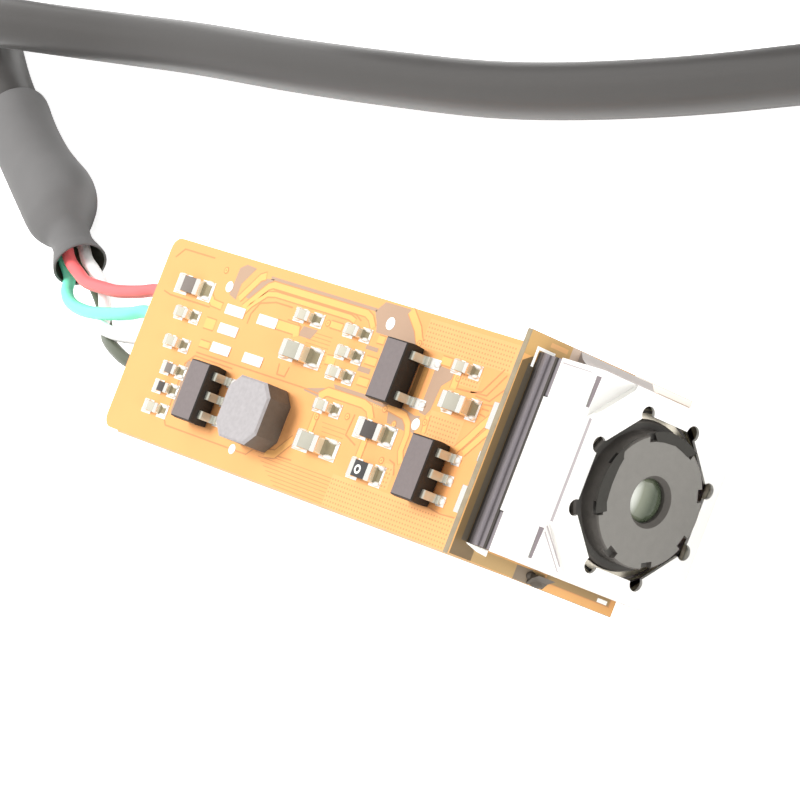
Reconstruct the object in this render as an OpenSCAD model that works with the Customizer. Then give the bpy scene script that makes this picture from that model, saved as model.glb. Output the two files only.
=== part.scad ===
// Autofocus camera module on a short USB lead.
// A narrow circuit board ends in a small square camera board that stands across it. The camera
// looks along the long axis of the narrow board. Its lens rides in a voice coil motor on two leaf
// springs. Four wires leave the underside of the far end, run into a shrink sleeve and go on as
// one round USB lead, which is folded into a tied hank with its plug on it.
// Axes: +X is the way the lens looks, +Z is the side of the narrow board with the small parts.
// The origin is the middle of the module's box without the lead, on the surface it stands on.

/* [Main board] */
// Length of the narrow board
board_l = 31.9; // [30:0.1:36]
// Width of the narrow board
board_w = 9.7; // [9.2:0.1:11]
// Thickness of the narrow board
board_t = 0.8; // [0.6:0.1:1.2]
// Radius of the two corners at the wire end
board_corner_r = 0.6; // [0.2:0.1:1.5]

/* [Camera board] */
// Width of the square camera board, across
cam_board_w = 9.9; // [9.7:0.1:12]
// Height of the camera board
cam_board_h = 9.9; // [9.7:0.1:12]
// Thickness of the camera board
cam_board_t = 0.3; // [0.2:0.1:0.6]
// How far the main board runs past the plane its places are counted from
board_reach = 0.5; // [0.4:0.1:0.6]
// Leg of the glue fillet between the two boards
glue_leg = 0.7; // [0.4:0.1:1]

/* [Camera housing] */
// Side of the square can
can_w = 8.5; // [8.3:0.1:9]
// Sheet thickness of the can
can_wall = 0.15; // [0.1:0.05:0.2]
// Depth of the can from its rim to the lowered corners of its front
can_depth = 2.65; // [2.5:0.05:3.5]
// Height of the raised eight-sided field on the can's front
field_rise = 0.3; // [0.2:0.05:0.4]
// Distance across the flats of the front opening
opening_af = 6.6; // [6.5:0.1:7]
// Radius of the round notches in the corners of the front opening
notch_r = 0.35; // [0.2:0.05:0.45]
// How far the lens axis lies below the top of the main board
lens_drop = 0.2; // [0:0.1:0.6]
// Thickness of the black frame that holds the can's base over the sensor
holder_t = 0.55; // [0.5:0.05:0.8]
// Thickness of the motor's moulded base
base_t = 0.8; // [0.7:0.05:1.2]
// How far the middle of each side of the can reaches down over the base
skirt_drop = 0.25; // [0.1:0.05:0.35]

/* [Lens and focus motor] */
// Radius of the threaded part of the lens barrel
barrel_r = 3.2; // [3:0.05:3.25]
// Radius of the lens barrel's nose
nose_r = 2.85; // [2.6:0.05:2.95]
// How far the nose stands out of the can
nose_out = 0.55; // [0.4:0.05:1]
// Radius of the round front window in the nose
window_r = 0.95; // [0.8:0.05:1.2]
// Gap between the lens thread and its carrier
thread_gap = 0.02; // [0.01:0.01:0.04]
// Wall of the lens carrier
carrier_wall = 0.33; // [0.3:0.01:0.4]
// Thickness of the coil winding on the carrier
coil_t = 0.22; // [0.15:0.01:0.25]
// Thickness of the leaf springs
spring_t = 0.05; // [0.04:0.01:0.08]
// Focus travel
focus_travel = 0.3; // [0.2:0.05:0.35]

/* [Parts on the board] */
// Height of the power inductor
inductor_h = 1.4; // [1:0.1:2]
// Side of the power inductor
inductor_w = 3.2; // [2.5:0.1:3.5]
// Side of the controller chip under the board
controller_w = 6; // [5:0.5:7]
// Distance between the wire joints
wire_pitch = 1.25; // [1:0.05:1.5]
// Outer diameter of each wire
wire_d = 0.65; // [0.5:0.05:0.7]

/* [Lead] */
// Outer diameter of the USB lead
cable_d = 2.65; // [2.6:0.05:2.7]
// Wall of the shrink sleeve
sleeve_wall = 0.3; // [0.2:0.05:0.4]

/* [Hidden] */
$fn = 48;
eps = 0.01;

// Places along the lens axis, counted from the back of the camera board
holder_x = board_reach + cam_board_t;
base_x = holder_x + holder_t;
rim_x = base_x + base_t;
corner_x = rim_x + can_depth;
field_x = corner_x + field_rise;
nose_x = field_x + nose_out;

// Where the back of the camera board and the top of the main board lie in the module's own frame
back_x = (board_l - nose_x) / 2;
board_z = cam_board_h / 2;

// Camera housing
can_in = can_w - 2 * can_wall;
base_w = can_w - 0.1;
holder_w = base_w + 0.4;
skirt_w = 5;
field_inset = 0.25;
corner_cut = 0.54 * can_w;
sensor_l = 5.4;
sensor_h = 4.8;
sensor_t = 0.4;
cavity_l = sensor_l + 0.5;
cavity_h = sensor_h + 0.5;
filter_l = cavity_l + 0.5;
filter_h = cavity_h + 0.5;
filter_t = 0.21;
filter_gap = 0.05;
slot_l = 1.35;
slot_h = 0.12;
slot_from = can_w / 2 - 0.3 - slot_l;

// Focus motor: the carrier lies between the two springs
carrier_x = rim_x + spring_t;
carrier_l = can_depth - 2 * spring_t - can_wall - 0.2 - field_rise / 3;
carrier_front_x = carrier_x + carrier_l;
carrier_in_r = barrel_r + thread_gap;
carrier_out_r = carrier_in_r + carrier_wall;
coil_out_r = carrier_out_r + coil_t;
flange_t = 0.3;
coil_x = carrier_x + flange_t;
coil_l = carrier_l - 2 * flange_t;
air_gap = 0.15;
magnet_face = coil_out_r + air_gap;
magnet_x = rim_x + spring_t + 0.35;
magnet_l = carrier_front_x - magnet_x;
spring_frame_w = can_in - 0.06;
spring_frame_in = can_in - 0.5;

// Lens barrel and its glass
shoulder_x = carrier_front_x + 0.3;
tail_x = rim_x - 0.35;
tail_r = barrel_r - 0.45;
thread_x = rim_x + 0.08;
crown_depth = 0.3;
crown_w = 0.55;
crown_n = 8;
front_glass_r = window_r + 0.3;
mid_glass_r = front_glass_r + 0.4;
rear_glass_r = mid_glass_r + 0.45;
front_seat_x = nose_x - 0.45;
mid_seat_x = front_seat_x - 0.55;
rear_seat_x = mid_seat_x - 0.6;
glass_gap = 0.01;
base_bore_r = tail_r + 0.2;

// Small parts: size [length along x, width, height, terminal length]
size_0402 = [1.0, 0.5, 0.5, 0.25];
size_0603 = [1.6, 0.8, 0.7, 0.35];
size_0603_flat = [1.6, 0.8, 0.45, 0.35];
size_0402_flat = [1.0, 0.5, 0.35, 0.25];
size_0805 = [2.0, 1.25, 0.9, 0.45];
// Places as [distance from the camera board, place across]
capacitors = [[28.7, 1.45], [28.65, 0], [19.85, 3.05], [16.1, 3.05], [16.1, 2.0], [16.2, 1.0],
              [16.2, -0.6], [8.05, 2.95]];
large_capacitors = [[19.4, 1.35], [16, -2.35], [7.5, 1.35]];
resistors = [[28.15, -1.25], [28.2, -2.2], [28.4, -3.25]];
edge_capacitors = [[3.55, 1.3, 1], [4.25, -0.5, 0], [3.55, -2.5, 1]];
bead_at = [28.95, 2.8];
diode_at = [12.4, -0.95];
link_at = [12.0, -2.75];
inductor_at = [20.3, -1.9];
bare_pads = [[25.25, 2.25], [25.25, 1.3], [25.25, 0.35], [22.62, 2.25], [22.62, 0.35]];
pad_size = [1.2, 0.6, 0.05];

// Small-outline chips: [distance from the camera board, place across, pins in front, pins behind]
converter = [24.9, -1.92, 3, 3];
regulator = [11.95, 1.8, 2, 3];
monitor = [7.9, -1.9, 3, 3];
so_l = 2.9;
so_w = 1.6;
so_h = 1.1;
so_pitch = 0.95;
so_standoff = 0.08;
so_draft = 0.08;
so_reach = 1.42;
lead_w = 0.4;
lead_t = 0.15;
lead_z = 0.6;

// Underside parts
controller_at = [15.5, 0];
controller_h = 0.85;
flash_at = [23.5, 0.8];
flash_size = [3, 2, 0.6];
crystal_at = [8.2, 0];
crystal_size = [3.2, 2.5, 0.7];

// Wires: each runs from its joint under the board to the mouth of the sleeve. Points are counted
// from the middle of the board's camera end, with the height from the top of the board.
joint_x = 30.7;
joint_y = 2.2;
joint_r = 0.5;
joint_h = 0.6;
wire_z = -(board_t + wire_d / 2 + 0.03);
red_route = [[-33.6, 2.2, -1.35], [-35.1, 1.9, -1.5], [-37.3, 1.6, -1.8], [-39.3, 1.55, -2.1],
             [-41, 1.6, -2.4], [-42.1, 1.9, -2.55]];
green_route = [[-33.8, 1.05, -1.35], [-35.3, 0.7, -1.5], [-37.4, 0.4, -1.85],
               [-39.9, 0.2, -2.35], [-42, 0.35, -2.75], [-43, 0.85, -2.9]];
white_route = [[-33.6, -0.3, -1.45], [-35.5, -0.15, -2.05], [-37.4, 0.3, -2.62],
               [-39, 0.95, -2.98], [-40.5, 1.7, -3.2], [-41.9, 2.3, -3.25]];
black_route = [[-33.9, -1.5, -1.4], [-36, -1.05, -1.9], [-37.9, -0.55, -2.5],
               [-39.6, 0.05, -3.2], [-41.1, 0.9, -3.7], [-42.3, 1.6, -3.9]];
// Place of each wire in the sleeve's mouth and just inside it, as [across, up] from its axis
red_mouth = [[0.05, 0.6], [-0.1, 0.6], [-0.33, 0.33]];
green_mouth = [[0.88, 0.2], [0.6, 0.3], [0.33, 0.33]];
white_mouth = [[-0.4, -0.15], [-0.4, -0.3], [-0.33, -0.33]];
black_mouth = [[0.3, -0.75], [0.33, -0.5], [0.33, -0.33]];

// Shrink sleeve: its axis lies level, and its belly rests on the surface
sleeve_at = [-43.1, 2.4];
sleeve_turn = 147.5;
sleeve_l = 12.6;
sleeve_r = 1.85;
sleeve_z = sleeve_r;
sleeve_neck_r = 1;
sleeve_mouth_r = 1.4;
sleeve_skin = 0.12;
grip_from = 5;
lead_r = cable_d / 2;
sleeve_bore_r = lead_r + 0.13;

// Lead: middle line from the sleeve to the hank, [x, y, height over the surface it lies on]
lead_route = [
    [-57.3, 11.4, 1.55], [-59.4, 13, 1.33], [-61, 15.2, 1.33], [-62.1, 18.3, 1.33],
    [-62.5, 22.3, 1.33], [-63, 27.1, 1.33], [-66.9, 32.2, 1.33], [-73, 34.1, 1.33],
    [-79.1, 32.2, 1.33], [-83, 27.1, 1.33], [-83.4, 21.7, 1.33], [-81.1, 16.7, 1.33],
    [-76.7, 13.4, 1.4], [-72.5, 12.5, 1.8], [-68, 12.3, 2.8], [-63.6, 12.4, 3.9],
    [-59.4, 12.6, 4.3], [-55, 12.9, 3.9], [-50.5, 13.3, 2.8], [-46, 13.7, 1.75],
    [-41, 14, 1.35], [-33, 14.3, 1.33], [-25, 15.1, 1.33], [-17, 16.1, 1.33], [-9, 17.5, 1.33],
    [-1, 19, 1.33], [5, 20.7, 1.33], [10.2, 23.8, 1.33], [13.7, 28.5, 1.33], [14.9, 34, 1.33],
    [13.5, 39.4, 1.4], [9.6, 43.9, 1.55], [4.5, 46.3, 1.75], [-1, 46.9, 1.85]];

// Hank of four turns in two layers, and the way from it to the plug that lies on it
hank_at = [-19, 36.2];
hank_run = 40;
hank_in_r = 6.65;
hank_step = 2.7;
hank_cols = 2;
hank_rows = 2;
tie_t = 0.5;
tie_w = 4;
tie_x = -18;
hank_out_r = hank_in_r + hank_cols * hank_step;
hank_h = hank_rows * hank_step;
plug_route = [[-12, 46.9, 4.6], [-19, 46.9, 5], [-26, 46.9, 5.9], [-33, 46.9, 6.9], [-39, 46.7, 7.3],
              [-43.6, 45.2, 7.3], [-46.7, 41.2, 7.3], [-46.5, 36, 7.3], [-43.4, 32.2, 7.3],
              [-38.6, 31, 7.3], [-34.5, 32, 7.4], [-30.6, 34.2, 8.2], [-27.2, 35.8, 9.3],
              [-24, 36.2, 9.82]];
plug_at = [-24, 36.2];
grip_h = 7.8;
plug_z = tie_t + hank_h + grip_h / 2 + 0.02;

// USB plug, counted along its length from the end of its strain relief
relief_l = 8;
relief_r = 2.1;
relief_root_r = 2.9;
grip_l = 18;
grip_w = 15.5;
shell_l = 18.5;
shell_w = 12;
shell_h = 4.5;
shell_wall = 0.3;
shell_inset = 5;
shell_back = relief_l + grip_l - shell_inset;
tongue_l = 14;
tongue_t = 1.84;
contact_t = 0.15;

// ---- frames ----

// Middle of the board's camera end, on its upper side
module at_board() {
    translate([back_x, 0, board_z]) children();
}

// Lens axis: z points the way the lens looks, x points down, y stays
module on_axis(x = 0) {
    translate([back_x + x, 0, board_z - lens_drop]) rotate([0, 90, 0]) children();
}

// Place of a part on the upper side of the board
module on_top(at) {
    at_board() translate([-at[0], at[1], 0]) children();
}

// Place of a part on the underside, turned over
module on_underside(at) {
    at_board() translate([-at[0], at[1], -board_t]) mirror([0, 0, 1]) children();
}

module box(size) {
    translate([-size[0] / 2, -size[1] / 2, 0]) cube(size);
}

module octagon(af) {
    circle(d = af / cos(22.5), $fn = 8);
}

// ---- boards ----

module main_board() {
    color([0.93, 0.62, 0.24])
    at_board() translate([-board_l, 0, -board_t]) linear_extrude(board_t) {
        translate([board_corner_r, -board_w / 2]) square([board_l + board_reach - board_corner_r, board_w]);
        translate([0, -board_w / 2 + board_corner_r])
            square([board_corner_r + eps, board_w - 2 * board_corner_r]);
        for (s = [-1, 1])
            translate([board_corner_r, s * (board_w / 2 - board_corner_r)]) circle(board_corner_r);
    }
}

module camera_board() {
    color([0.85, 0.55, 0.2])
    translate([back_x + board_reach, -cam_board_w / 2, 0])
        cube([cam_board_t, cam_board_w, cam_board_h]);
}

// Two hollow-faced fillets along the joint, and a bead beside the can on the camera board's face
module board_glue() {
    length = board_w - 0.4;
    color([0.8, 0.7, 0.45, 0.6]) {
        for (side = [0, 1])
            at_board() translate([board_reach, 0, -side * board_t]) mirror([0, 0, side])
                rotate([90, 0, 0]) linear_extrude(length, center = true) difference() {
                    translate([-glue_leg, 0]) square(glue_leg);
                    translate([-glue_leg * 1.1, glue_leg * 1.1]) circle(glue_leg * 1.05);
                }
        bead_w = (cam_board_w - holder_w) / 2 - 0.06;
        bead_h = base_t * 0.8;
        bead_l = [holder_w / 2, holder_w / 9];
        for (side = [0, 1])
            at_board() mirror([0, side, 0])
                translate([holder_x, holder_w / 2 + 0.02, -lens_drop])
                    linear_extrude(bead_l[side], center = true) polygon([
                        [0, 0], [bead_h, 0], [bead_h * 0.35, bead_w * 0.45], [0, bead_w]]);
    }
}

// ---- camera housing ----

module image_sensor() {
    color([0.25, 0.3, 0.35])
    on_axis(holder_x) box([sensor_h, sensor_l, sensor_t]);
}

module sensor_holder() {
    color([0.06, 0.06, 0.07])
    on_axis(holder_x) difference() {
        box([holder_w, holder_w, holder_t]);
        translate([0, 0, -1]) box([cavity_h, cavity_l, holder_t + 2]);
    }
}

module ir_filter() {
    color([0.4, 0.65, 0.75, 0.5])
    on_axis(base_x) box([filter_h, filter_l, filter_t]);
}

// Moulded base: a plate with a recess for the filter, a bore for the lens, and four corner pads
module motor_base() {
    recess = [filter_h + 2 * filter_gap, filter_l + 2 * filter_gap, filter_t + filter_gap + 1];
    color([0.1, 0.1, 0.11])
    on_axis(base_x) difference() {
        union() {
            box([base_w, base_w, base_t - skirt_drop]);
            box([can_in - 0.04, can_in - 0.04, base_t]);
            for (a = [0:90:270])
                rotate(a) translate([skirt_w / 2 + 0.05, skirt_w / 2 + 0.05, 0])
                    cube([(base_w - skirt_w) / 2 - 0.05, (base_w - skirt_w) / 2 - 0.05, base_t]);
        }
        translate([0, 0, -1]) box(recess);
        translate([0, 0, -1]) cylinder(r = base_bore_r, h = base_t + 2);
    }
}

// Solid outline of the can's front part: square, with lowered corners and bevelled long edges
module can_body(w, cut, rim, corner, field, inset) {
    difference() {
        translate([0, 0, rim]) box([w, w, field - rim]);
        for (a = [45:90:315])
            rotate(a) translate([cut, -w, corner]) cube([w, 2 * w, w]);
        for (a = [0:90:270])
            rotate(a) translate([w / 2 - inset, -w, field]) rotate([0, 45, 0])
                cube([w, 2 * w, w]);
    }
}

module motor_can() {
    color([0.85, 0.84, 0.82])
    on_axis() difference() {
        union() {
            can_body(can_w, corner_cut, rim_x, corner_x, field_x, field_inset);
            for (a = [0:90:270])
                rotate(a) translate([can_w / 2 - can_wall, -skirt_w / 2, rim_x - skirt_drop])
                    cube([can_wall, skirt_w, skirt_drop + eps]);
        }
        can_body(can_in, corner_cut - can_wall, rim_x - 1, corner_x - can_wall,
                 field_x - can_wall, field_inset);
        translate([0, 0, corner_x]) linear_extrude(2) rotate(22.5) octagon(opening_af);
        for (a = [22.5:45:360])
            rotate(a) translate([opening_af / 2 / cos(22.5), 0, corner_x]) cylinder(r = notch_r, h = 2);
        // slots under the lowered corners
        for (a = [0:90:270])
            for (s = [-1, 1])
                rotate(a) translate([can_w / 2 - 1.5 * can_wall,
                                     s > 0 ? slot_from : -slot_from - slot_l,
                                     corner_x - can_wall - slot_h])
                    cube([2 * can_wall, slot_l, slot_h]);
    }
}

// ---- focus motor and lens ----

module magnets() {
    color([0.55, 0.55, 0.57])
    on_axis(magnet_x) for (a = [45:90:315])
        intersection() {
            box([can_in, can_in, magnet_l]);
            rotate(a) translate([magnet_face, -2.1, -1]) cube([3, 4.2, magnet_l + 2]);
        }
}

module focus_coil() {
    color([0.75, 0.4, 0.2])
    on_axis(coil_x) rotate_extrude()
        translate([carrier_out_r, 0]) square([coil_t, coil_l]);
}

// Tube with a flange at each end of the winding and four pads that the springs are bonded to
module lens_carrier() {
    color([0.12, 0.12, 0.13])
    on_axis(carrier_x) rotate_extrude() polygon([
        [carrier_in_r, 0], [coil_out_r, 0], [coil_out_r, flange_t],
        [carrier_out_r, flange_t], [carrier_out_r, carrier_l - flange_t],
        [coil_out_r, carrier_l - flange_t], [coil_out_r, carrier_l], [carrier_in_r, carrier_l]]);
}

// Leaf spring: square frame, round ring and four curved arms between them
module leaf_spring(x) {
    ring_out = carrier_out_r - 0.07;
    arm_in = carrier_out_r + 0.05;
    arm_out = arm_in + 0.09;
    on_axis(x) linear_extrude(spring_t) {
        difference() {
            square(spring_frame_w, center = true);
            rotate(22.5) octagon(spring_frame_in);
        }
        difference() {
            circle(ring_out);
            circle(carrier_in_r + 0.02);
        }
        for (a = [0:90:270])
            rotate(a) {
                intersection() {
                    difference() {
                        circle(arm_out);
                        circle(arm_in);
                    }
                    polygon([[0, 0], [9, 0], [9, 9], [0.6, 9]]);
                }
                translate([ring_out - 0.1, 0]) square([arm_in - ring_out + 0.13, 0.14]);
                rotate(80) translate([arm_out - 0.04, 0]) square([spring_frame_in / 2 - arm_in, 0.14]);
            }
    }
}

module front_leaf_spring() {
    color([0.85, 0.7, 0.4])
    leaf_spring(carrier_front_x);
}

module rear_leaf_spring() {
    color([0.85, 0.7, 0.4])
    leaf_spring(rim_x);
}

module lens_barrel() {
    color([0.16, 0.16, 0.17])
    on_axis() difference() {
        rotate_extrude($fn = 72) polygon([
            [0, tail_x], [tail_r, tail_x], [tail_r, thread_x], [barrel_r, thread_x],
            [barrel_r, shoulder_x - 0.08], [barrel_r - 0.08, shoulder_x], [nose_r, shoulder_x],
            [nose_r, nose_x - 0.06], [nose_r - 0.06, nose_x], [0, nose_x]]);
        rotate_extrude() polygon([
            [0, tail_x - 1], [rear_glass_r + glass_gap, tail_x - 1],
            [rear_glass_r + glass_gap, rear_seat_x], [mid_glass_r + glass_gap, rear_seat_x],
            [mid_glass_r + glass_gap, mid_seat_x], [front_glass_r + glass_gap, mid_seat_x],
            [front_glass_r + glass_gap, front_seat_x], [window_r, front_seat_x],
            [window_r, nose_x - 0.25], [window_r + 0.17, nose_x + eps], [0, nose_x + eps]]);
        for (i = [0:crown_n - 1])
            rotate(22.5 + i * 360 / crown_n)
                translate([nose_r - crown_depth, -crown_w / 2, nose_x - crown_depth])
                    cube([1, crown_w, 1]);
    }
}

// Quarter of an ellipse from the rim at radius a to the middle at height h
function cap(a, h, n = 8) = [for (i = [0:n]) [a * cos(90 * i / n), h * sin(90 * i / n)]];

// Lens with a plain edge of radius r from z = 0 to z = edge, and a bulge on each side over radius a
module lens(r, edge, a, front, back) {
    behind = cap(a, back);
    rotate_extrude() polygon(concat(
        [for (i = [len(behind) - 1:-1:0]) [behind[i][0], -behind[i][1]]],
        [[r, 0], [r, edge]],
        [for (p = cap(a, front)) [p[0], edge + p[1]]]));
}

module front_lens() {
    color([0.5, 0.6, 0.52, 0.6])
    on_axis(front_seat_x - 0.3) lens(front_glass_r, 0.3, window_r - 0.03, 0.28, 0.1);
}

module middle_lens() {
    color([0.55, 0.62, 0.6, 0.5])
    on_axis(mid_seat_x - 0.3) lens(mid_glass_r, 0.3, mid_glass_r - 0.5, 0.1, 0.12);
}

module rear_lens() {
    color([0.55, 0.62, 0.6, 0.5])
    on_axis(rear_seat_x - 0.4) lens(rear_glass_r, 0.4, rear_glass_r - 0.5, 0.1, 0.3);
}

// ---- parts on the board ----

// Ceramic or film chip: body with a metal cap round each end
module chip(size) {
    skin = 0.02;
    translate([0, 0, skin]) box([size[0] - 2 * skin, size[1] - 2 * skin, size[2] - 2 * skin]);
    for (s = [-1, 1])
        translate([s * (size[0] - size[3]) / 2, 0, 0]) box([size[3], size[1], size[2]]);
}

module capacitor(i) {
    color([0.82, 0.74, 0.62]) on_top(capacitors[i]) chip(size_0402);
}

module large_capacitor(i) {
    color([0.78, 0.7, 0.58]) on_top(large_capacitors[i]) chip(size_0603);
}

module resistor(i) {
    color([0.25, 0.22, 0.22]) on_top(resistors[i]) chip(size_0402_flat);
}

module ferrite_bead() {
    color([0.3, 0.3, 0.33]) on_top(bead_at) chip(size_0603_flat);
}

module diode() {
    color([0.25, 0.24, 0.26]) on_top(diode_at) chip(size_0603_flat);
}

module zero_link() {
    color([0.1, 0.1, 0.1]) on_top(link_at) chip(size_0603_flat);
}

module edge_capacitors() {
    color([0.78, 0.7, 0.58])
    for (c = edge_capacitors)
        on_top(c) chip(c[2] == 1 ? size_0805 : size_0402);
}

module bare_pads() {
    color([0.9, 0.9, 0.88])
    for (p = bare_pads)
        on_top(p) box(pad_size);
}

// Moulded chip body with drafted sides
module so_body(chip_at) {
    color([0.2, 0.19, 0.2])
    on_top(chip_at) hull() {
        translate([0, 0, lead_z]) box([so_w, so_l, lead_t]);
        translate([0, 0, so_standoff]) box([so_w - so_draft, so_l - so_draft, 0.05]);
        translate([0, 0, so_h - 0.05]) box([so_w - so_draft, so_l - so_draft, 0.05]);
    }
}

// One bent lead, out of the body at half height and down to a foot on the board
module so_lead() {
    out = so_w / 2;
    rotate([90, 0, 0]) linear_extrude(lead_w, center = true) polygon([
        [out, lead_z], [out, lead_z + lead_t], [out + 0.22, lead_z + lead_t],
        [out + 0.34, lead_t], [so_reach, lead_t], [so_reach, 0], [out + 0.2, 0],
        [out + 0.1, lead_z]]);
}

function pin_places(n) = n == 3 ? [-so_pitch, 0, so_pitch] : [-so_pitch, so_pitch];

module so_leads(chip_at) {
    color([0.88, 0.88, 0.86])
    on_top(chip_at) for (side = [0, 1])
        for (y = pin_places(chip_at[2 + side]))
            rotate(180 * side) translate([0, y, 0]) so_lead();
}

// Moulded power inductor with cut corners
module inductor() {
    cut = 0.55;
    half = inductor_w / 2;
    color([0.4, 0.39, 0.4])
    on_top(inductor_at) linear_extrude(inductor_h) polygon([
        [-half + cut, -half], [half - cut, -half], [half, -half + cut], [half, half - cut],
        [half - cut, half], [-half + cut, half], [-half, half - cut], [-half, -half + cut]]);
}

module controller_chip() {
    color([0.12, 0.12, 0.13])
    on_underside(controller_at) box([controller_w, controller_w, controller_h]);
}

module memory_chip() {
    color([0.12, 0.12, 0.13]) on_underside(flash_at) box(flash_size);
}

module crystal() {
    color([0.8, 0.8, 0.78]) on_underside(crystal_at) box(crystal_size);
}

// ---- wires and lead ----

function unit(v) = v / norm(v);

// Points on a smooth line through the given ones, n to a stretch
function bend(a, b, c, d, t) =
    ((2 * b) + (c - a) * t + (2 * a - 5 * b + 4 * c - d) * t * t
        + (3 * b - a - 3 * c + d) * t * t * t) / 2;

function smooth(p, n) = concat(
    [for (i = [0:len(p) - 2])
        for (k = [0:n - 1])
            bend(p[max(i - 1, 0)], p[i], p[i + 1], p[min(i + 2, len(p) - 1)], k / n)],
    [p[len(p) - 1]]);

function heading(p, i) =
    i == 0 ? unit(p[1] - p[0])
    : i == len(p) - 1 ? unit(p[i] - p[i - 1])
    : unit(unit(p[i + 1] - p[i]) + unit(p[i] - p[i - 1]));

function ring(c, h, r, n) =
    let (side = unit(cross(h, [0, 0, 1])), up = cross(side, h))
    [for (k = [0:n - 1]) c + r * (side * cos(360 * (k + 0.5) / n) + up * sin(360 * (k + 0.5) / n))];

// Tube along the points p, closed by a flat face at each end
module tube(p, r, n = 8) {
    last = len(p) - 1;
    points = [for (i = [0:last]) each ring(p[i], heading(p, i), r / cos(180 / n), n)];
    sides = [for (i = [0:last - 1])
        for (k = [0:n - 1])
            let (m = (k + 1) % n)
            each [[i * n + k, i * n + m, (i + 1) * n + m],
                  [i * n + k, (i + 1) * n + m, (i + 1) * n + k]]];
    polyhedron(points, concat(
        [[for (k = [n - 1:-1:0]) k]], sides, [[for (k = [0:n - 1]) last * n + k]]));
}

// Point in the sleeve: s along it from its mouth, then across and up from its axis
function in_sleeve(s, off) = [
    sleeve_at[0] + s * cos(sleeve_turn) - off[0] * sin(sleeve_turn),
    sleeve_at[1] + s * sin(sleeve_turn) + off[0] * cos(sleeve_turn),
    sleeve_z - board_z + off[1]];

module wire(i, route, mouth) {
    y = joint_y - i * wire_pitch;
    at_board() tube(smooth(concat(
        [[-joint_x, y, wire_z], [-board_l, y, wire_z]], route,
        [in_sleeve(0, mouth[0]), in_sleeve(1.1, mouth[1]), in_sleeve(2.4, mouth[2]),
         in_sleeve(4.4, mouth[2])]), 2), wire_d / 2);
}

// Rounded solder joints on the underside, one for each wire
module wire_joints() {
    color([0.85, 0.85, 0.83])
    for (i = [0:3])
        on_underside([joint_x, joint_y - i * wire_pitch])
            rotate_extrude($fn = 24) polygon([
                [0, 0], [joint_r, 0], [joint_r * 0.85, joint_h * 0.5],
                [joint_r * 0.5, joint_h * 0.9], [0, joint_h]]);
}

module red_wire() {
    color([0.8, 0.15, 0.15]) wire(0, red_route, red_mouth);
}

module green_wire() {
    color([0.15, 0.7, 0.6]) wire(1, green_route, green_mouth);
}

module white_wire() {
    color([0.93, 0.93, 0.93]) wire(2, white_route, white_mouth);
}

module black_wire() {
    color([0.12, 0.12, 0.12]) wire(3, black_route, black_mouth);
}

// Sleeve shrunk onto the lead at one end and onto the wires at the other
module shrink_sleeve() {
    bore = grip_from - 0.2;
    color([0.14, 0.14, 0.15])
    translate([back_x + sleeve_at[0], sleeve_at[1], sleeve_z]) rotate([0, 0, sleeve_turn])
        rotate([0, 90, 0]) rotate_extrude() polygon([
            [sleeve_mouth_r - sleeve_skin, 0], [sleeve_mouth_r, 0],
            [sleeve_neck_r + 0.2, 0.8], [sleeve_neck_r, 1.5], [sleeve_neck_r + 0.02, 2.3],
            [sleeve_neck_r + 0.35, 3.1], [sleeve_r - 0.06, 4.2], [sleeve_r, 4.8],
            [sleeve_r - 0.08, 7], [sleeve_r - 0.1, sleeve_l - 0.3],
            [sleeve_r - 0.2, sleeve_l], [sleeve_bore_r, sleeve_l], [sleeve_bore_r, bore],
            [sleeve_bore_r + 0.1, 4.2],
            [sleeve_neck_r + 0.35 - sleeve_skin, 3.3], [sleeve_neck_r - sleeve_skin, 2.4],
            [sleeve_neck_r - sleeve_skin, 1.5], [sleeve_neck_r + 0.2 - sleeve_skin, 0.8]]);
}

function sleeve_line(s) = in_sleeve(s, [0, 0]) + [0, 0, board_z];

// The lead as it lies, from inside the sleeve to the hank
module usb_lead() {
    color([0.13, 0.13, 0.14])
    translate([back_x, 0, 0]) tube(smooth(concat(
        [sleeve_line(grip_from), sleeve_line(9), sleeve_line(12.5), sleeve_line(14.5)],
        lead_route), 2), lead_r * 0.985);
}

module hank_outline(r) {
    square([hank_run, 2 * r], center = true);
    for (s = [-1, 1])
        translate([s * hank_run / 2, 0]) circle(r);
}

// The turns of the hank as one closed loop
module lead_hank() {
    color([0.13, 0.13, 0.14])
    translate([back_x + hank_at[0], hank_at[1], tie_t]) linear_extrude(hank_h) difference() {
        hank_outline(hank_out_r);
        hank_outline(hank_in_r);
    }
}

// Tie round both sides of the hank and the end that runs on top of it
module lead_tie() {
    hole_w = 2 * hank_out_r + 0.1;
    hole_h = hank_h + hank_step + 0.1;
    color([0.1, 0.1, 0.1])
    translate([back_x + hank_at[0] + tie_x, hank_at[1], 0]) difference() {
        box([tie_w, hole_w + 2 * tie_t, hole_h + 2 * tie_t]);
        translate([0, 0, tie_t - 0.02]) box([tie_w + 2, hole_w, hole_h]);
    }
}

module plug_lead() {
    color([0.13, 0.13, 0.14])
    translate([back_x, 0, 0]) tube(smooth(plug_route, 2), lead_r * 0.985);
}

// The plug lies flat on the hank, in line with it
module at_plug(s) {
    translate([back_x + plug_at[0] + s, plug_at[1], plug_z]) children();
}

module lying_box(l, w, h) {
    translate([0, -w / 2, -h / 2]) cube([l, w, h]);
}

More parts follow.
